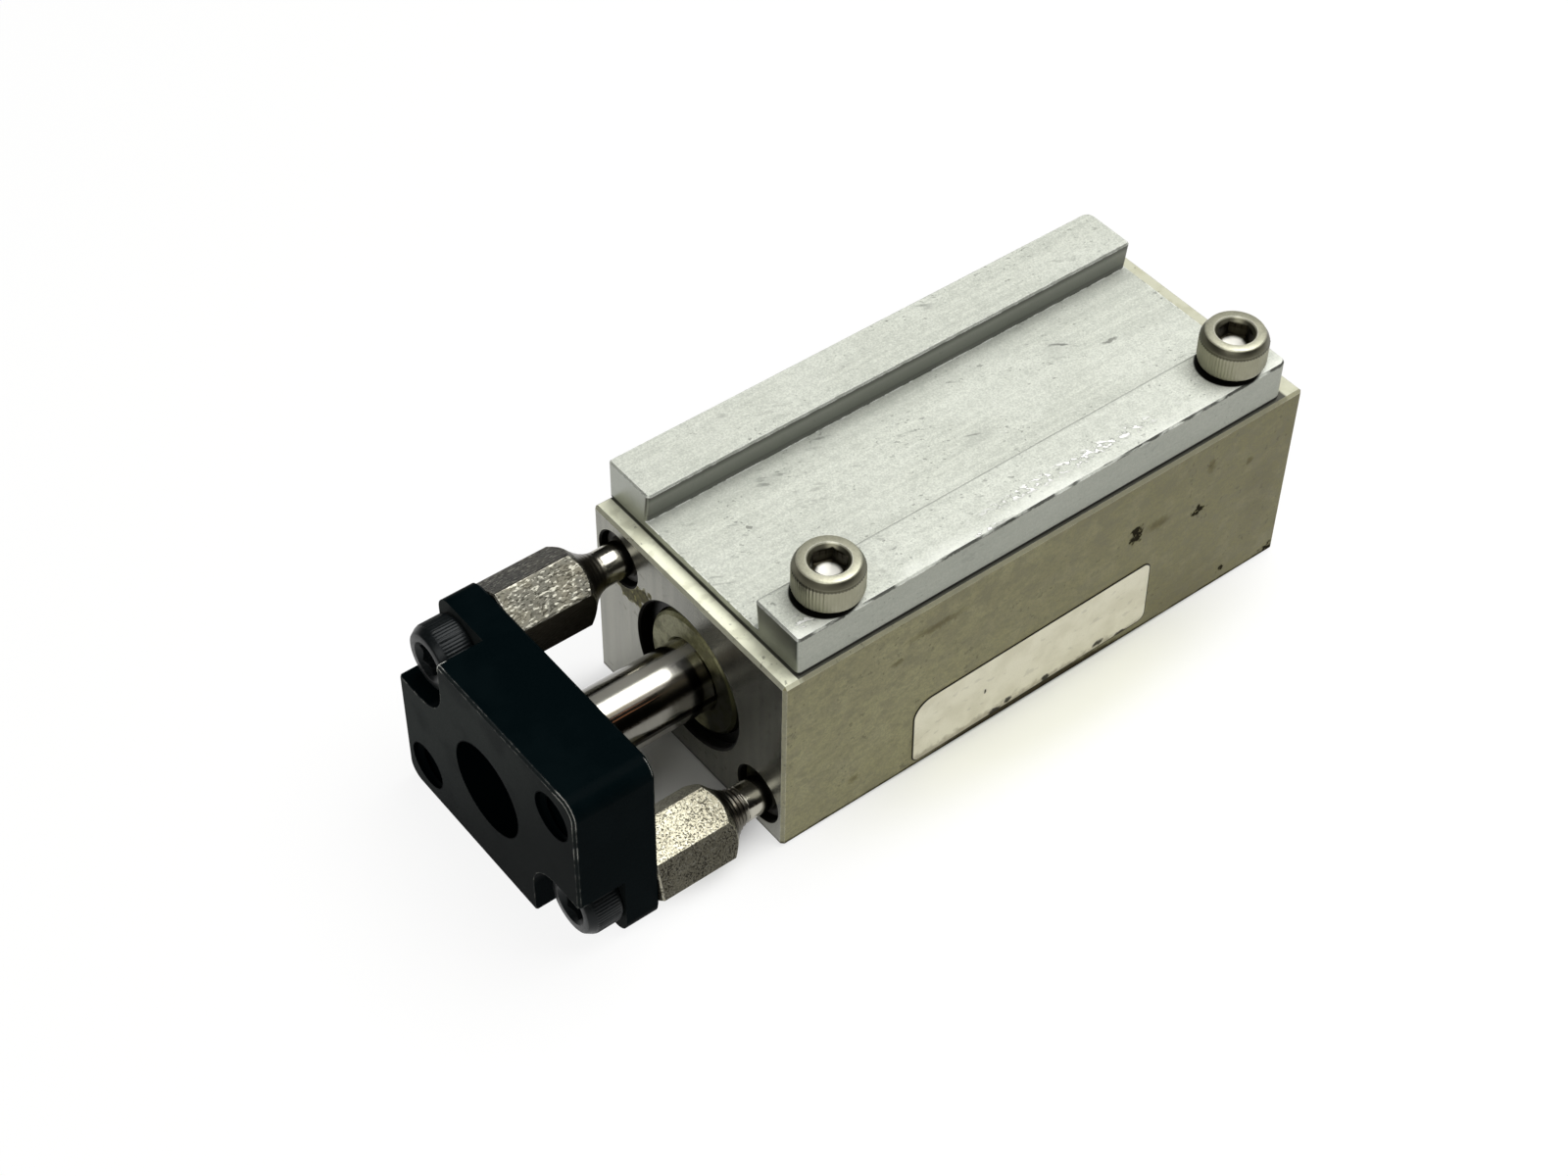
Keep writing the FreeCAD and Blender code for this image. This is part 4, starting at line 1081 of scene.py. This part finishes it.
def guide_pins():
    """The two guide pins, each with its own turn of the hexagon, turning ridges and pits."""
    speckled = pitted_hexagon_steel("speckled_hexagon_steel", (1, 1, 1), "#B0AC97", 0.85, 0.72)
    pitted = FINISHES["hexagon_steel"]
    pins = (
        ("guide_pin_upper", upper_low, upper_high, UPPER_HEX_TURN, UPPER_RIDGE_DEPTH, pitted),
        ("guide_pin_lower", lower_low, lower_high, LOWER_HEX_TURN, LOWER_RIDGE_DEPTH, speckled),
    )
    for name, low, high, turn, ridge_depth, material in pins:
        along, radius, angle = guide_pin(high[0], low[0], turn, ridge_depth)
        axis = (low + high) / 2
        grid = turned((high[0], axis[1], axis[2]), BACK, ACROSS, along, radius, -angle)
        piece = skin(name + "_turned", [grid], "slide", material)
        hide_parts(name)


def bare_label():
    """Blank film label on the near side of the block, stuck on a little askew."""
    thickness = LABEL_THICKNESS + LABEL_SINK
    grid, rim = rounded_plate(LABEL_WIDTH, LABEL_HEIGHT, LABEL_CORNERS, thickness, LABEL_RIM)
    tilt = np.radians(LABEL_TILT)
    across = grid[..., 0] * math.cos(tilt) + grid[..., 2] * math.sin(tilt)
    up = grid[..., 2] * math.cos(tilt) - grid[..., 0] * math.sin(tilt)
    middle = np.array([LABEL_MIDDLE_X, body_high[1] - LABEL_SINK, LABEL_MIDDLE_Z])
    grid = middle + np.stack([across, grid[..., 1], up], axis=-1)
    piece = skin("bare_label", [grid], "housing", yellowed_film_label(), rim)


def hole_threads():
    """Threads in the plate's tool holes, the air ports and the tapped holes of the underside."""
    mounts = {mount["name"]: mount for mount in frame["record"]["mounts"]}
    plate_depth = plate_high[0] - plate_low[0]
    tool = [
        inner_thread((plate_high[0], -axis[1], axis[2]), ALONG, ACROSS, *TOOL_HOLE_THREAD, plate_depth)
        for axis in (upper_axis, lower_axis)
    ]
    piece = skin("tool_hole_threads", tool, "slide", FINISHES["black_anodised"])
    ports = []
    for name in ("front_port", "rear_port"):
        place = np.array(mounts[name]["pos_m"]) / MM
        mouth = (place[0], body_low[1], place[2])
        ports.append(inner_thread(mouth, FAR, ALONG, *PORT_THREAD))
    piece = skin("port_threads", ports, "housing", FINISHES["body_anodised"])
    taps = mounts["base_taps"]
    middle = np.array(taps["pos_m"]) / MM
    reach = np.array([taps["dims"]["spacing_x_mm"] / 2, 0, 0])
    below = [inner_thread(middle + way * reach, DOWN, ALONG, *BASE_TAP_THREAD) for way in (1, -1)]
    piece = skin("base_tap_threads", below, "housing", FINISHES["body_anodised"])


# Studio

def white_table():
    """Wide white table top; what camera and mirrors see of it is lifted towards white, and its shadow stays.

    The lift, a glow, fades out in the gap between block and plate, where shadow is deepest, and on the near
    side, and the table is painted darker there too: a painted shadow.
    """
    half = FLOOR_SIZE / 2 * MM
    mesh = bpy.data.meshes.new("white_table")
    corners = [(-half, -half, 0), (half, -half, 0), (half, half, 0), (-half, half, 0)]
    mesh.from_pydata(corners, [], [(0, 1, 2, 3)])
    material, tree, shader, place = finish("white_laminate_table", Roughness=0.6)
    path = node(tree, "LightPath").outputs
    seen = path["Is Camera Ray"]
    for ray in ("Is Glossy Ray", "Is Transmission Ray"):
        seen = node(tree, "Math", {0: seen, 1: path[ray]}, operation="MAXIMUM").outputs[0]
    sheen = blotches(place, 40.0, 0.3, 0.7)
    side = marks(place, [FLOOR_SIDE], soft=0.8)
    gap = marks(place, [FLOOR_GAP], soft=0.6)
    coat(shader, "Base Color", FLOOR_BOUNCE, [
        (1.0, seen, FLOOR_WHITE),
        (0.1, sheen, "#EFEFEC"),
        # The table is painted darker beside the near side and in the gap, a painted shadow
        (0.8, side, FLOOR_SHADE),
        (0.5, gap, "#A8A8A0"),
    ])
    glow = node(tree, "Emission", {"Color": (1.0, 1.0, 1.0, 1.0), "Strength": 1.0}).outputs[0]
    # The glow of the lift is weaker in the same spots, which keeps the painted shadow dark
    lift = overlay(tree, FLOOR_LIFT, [(0.75, side, 0.0), (1.0, gap, 0.0)])
    share = overlay(tree, 0.0, [(1.0, seen, lift)])
    blend = node(tree, "MixShader", {0: share, 1: shader.outputs[0], 2: glow})
    tree.links.new(blend.outputs[0], tree.nodes["Material Output"].inputs["Surface"])
    mesh.materials.append(material)
    table = bpy.data.objects.new("white_table", mesh)
    bpy.context.scene.collection.objects.link(table)


def softboxes():
    """Two round softboxes: one overhead and a little behind, a weaker one in front to fill the shade."""
    lamps = (
        ("overhead_softbox", SOFTBOX_SIZE, SOFTBOX_PLACE, SOFTBOX_POWER, DOWN),
        ("front_softbox", FILL_SIZE, FILL_PLACE, FILL_POWER, -Vector(FILL_PLACE)),
    )
    for name, size, place, power, way in lamps:
        lamp = bpy.data.lights.new(name, "AREA")
        lamp.shape = "DISK"
        lamp.size = size * MM
        lamp.energy = power
        holder = bpy.data.objects.new(name, lamp)
        holder.location = Vector(place) * MM
        holder.rotation_euler = Vector(way).to_track_quat("-Z", "Y").to_euler()
        bpy.context.scene.collection.objects.link(holder)


def dim_room():
    """World behind the lamps: a dim room with a brown band at its horizon, lighter overhead."""
    world = bpy.data.worlds.new("dim_room")
    world.use_nodes = True
    tree = world.node_tree
    way = node(tree, "TexCoord").outputs["Generated"]
    height = node(tree, "SeparateXYZ", {0: way}).outputs["Z"]
    share = node(tree, "MapRange", {"Value": height, "From Min": -1.0, "From Max": 1.0}).outputs[0]
    colour = node(tree, "ValToRGB", {0: share}, stops=ROOM_COLOURS).outputs[0]
    tree.links.new(colour, tree.nodes["Background"].inputs["Color"])
    bpy.context.scene.world = world


def photo_camera():
    """Camera of the photograph: from its target back along azimuth and elevation, then rolled."""
    azimuth = math.radians(CAMERA_AZIMUTH)
    elevation = math.radians(CAMERA_ELEVATION)
    flat = math.cos(elevation)
    back = Vector((math.sin(azimuth) * flat, -math.cos(azimuth) * flat, math.sin(elevation)))
    right = Vector(UP).cross(back).normalized()
    up = back.cross(right)
    place = (Vector(CAMERA_TARGET) + CAMERA_DISTANCE * back) * MM
    turn = Matrix((right, up, back)).transposed()
    lens = bpy.data.cameras.new("photo_camera")
    lens.sensor_fit = "HORIZONTAL"
    lens.sensor_width = SENSOR_WIDTH
    lens.lens = FOCAL_PIXELS / PHOTO_WIDTH * SENSOR_WIDTH
    lens.clip_start = CLIP_START * MM
    camera = bpy.data.objects.new("photo_camera", lens)
    roll = Matrix.Rotation(math.radians(CAMERA_ROLL), 3, "Z")
    camera.matrix_world = Matrix.Translation(place) @ (turn @ roll).to_4x4()
    bpy.context.scene.collection.objects.link(camera)
    bpy.context.scene.camera = camera


dress_frame()
rail_screws()
plate_screws()
guide_pins()
bare_label()
hole_threads()
white_table()
softboxes()
dim_room()
photo_camera()
bpy.context.scene.view_settings.view_transform = "Standard"
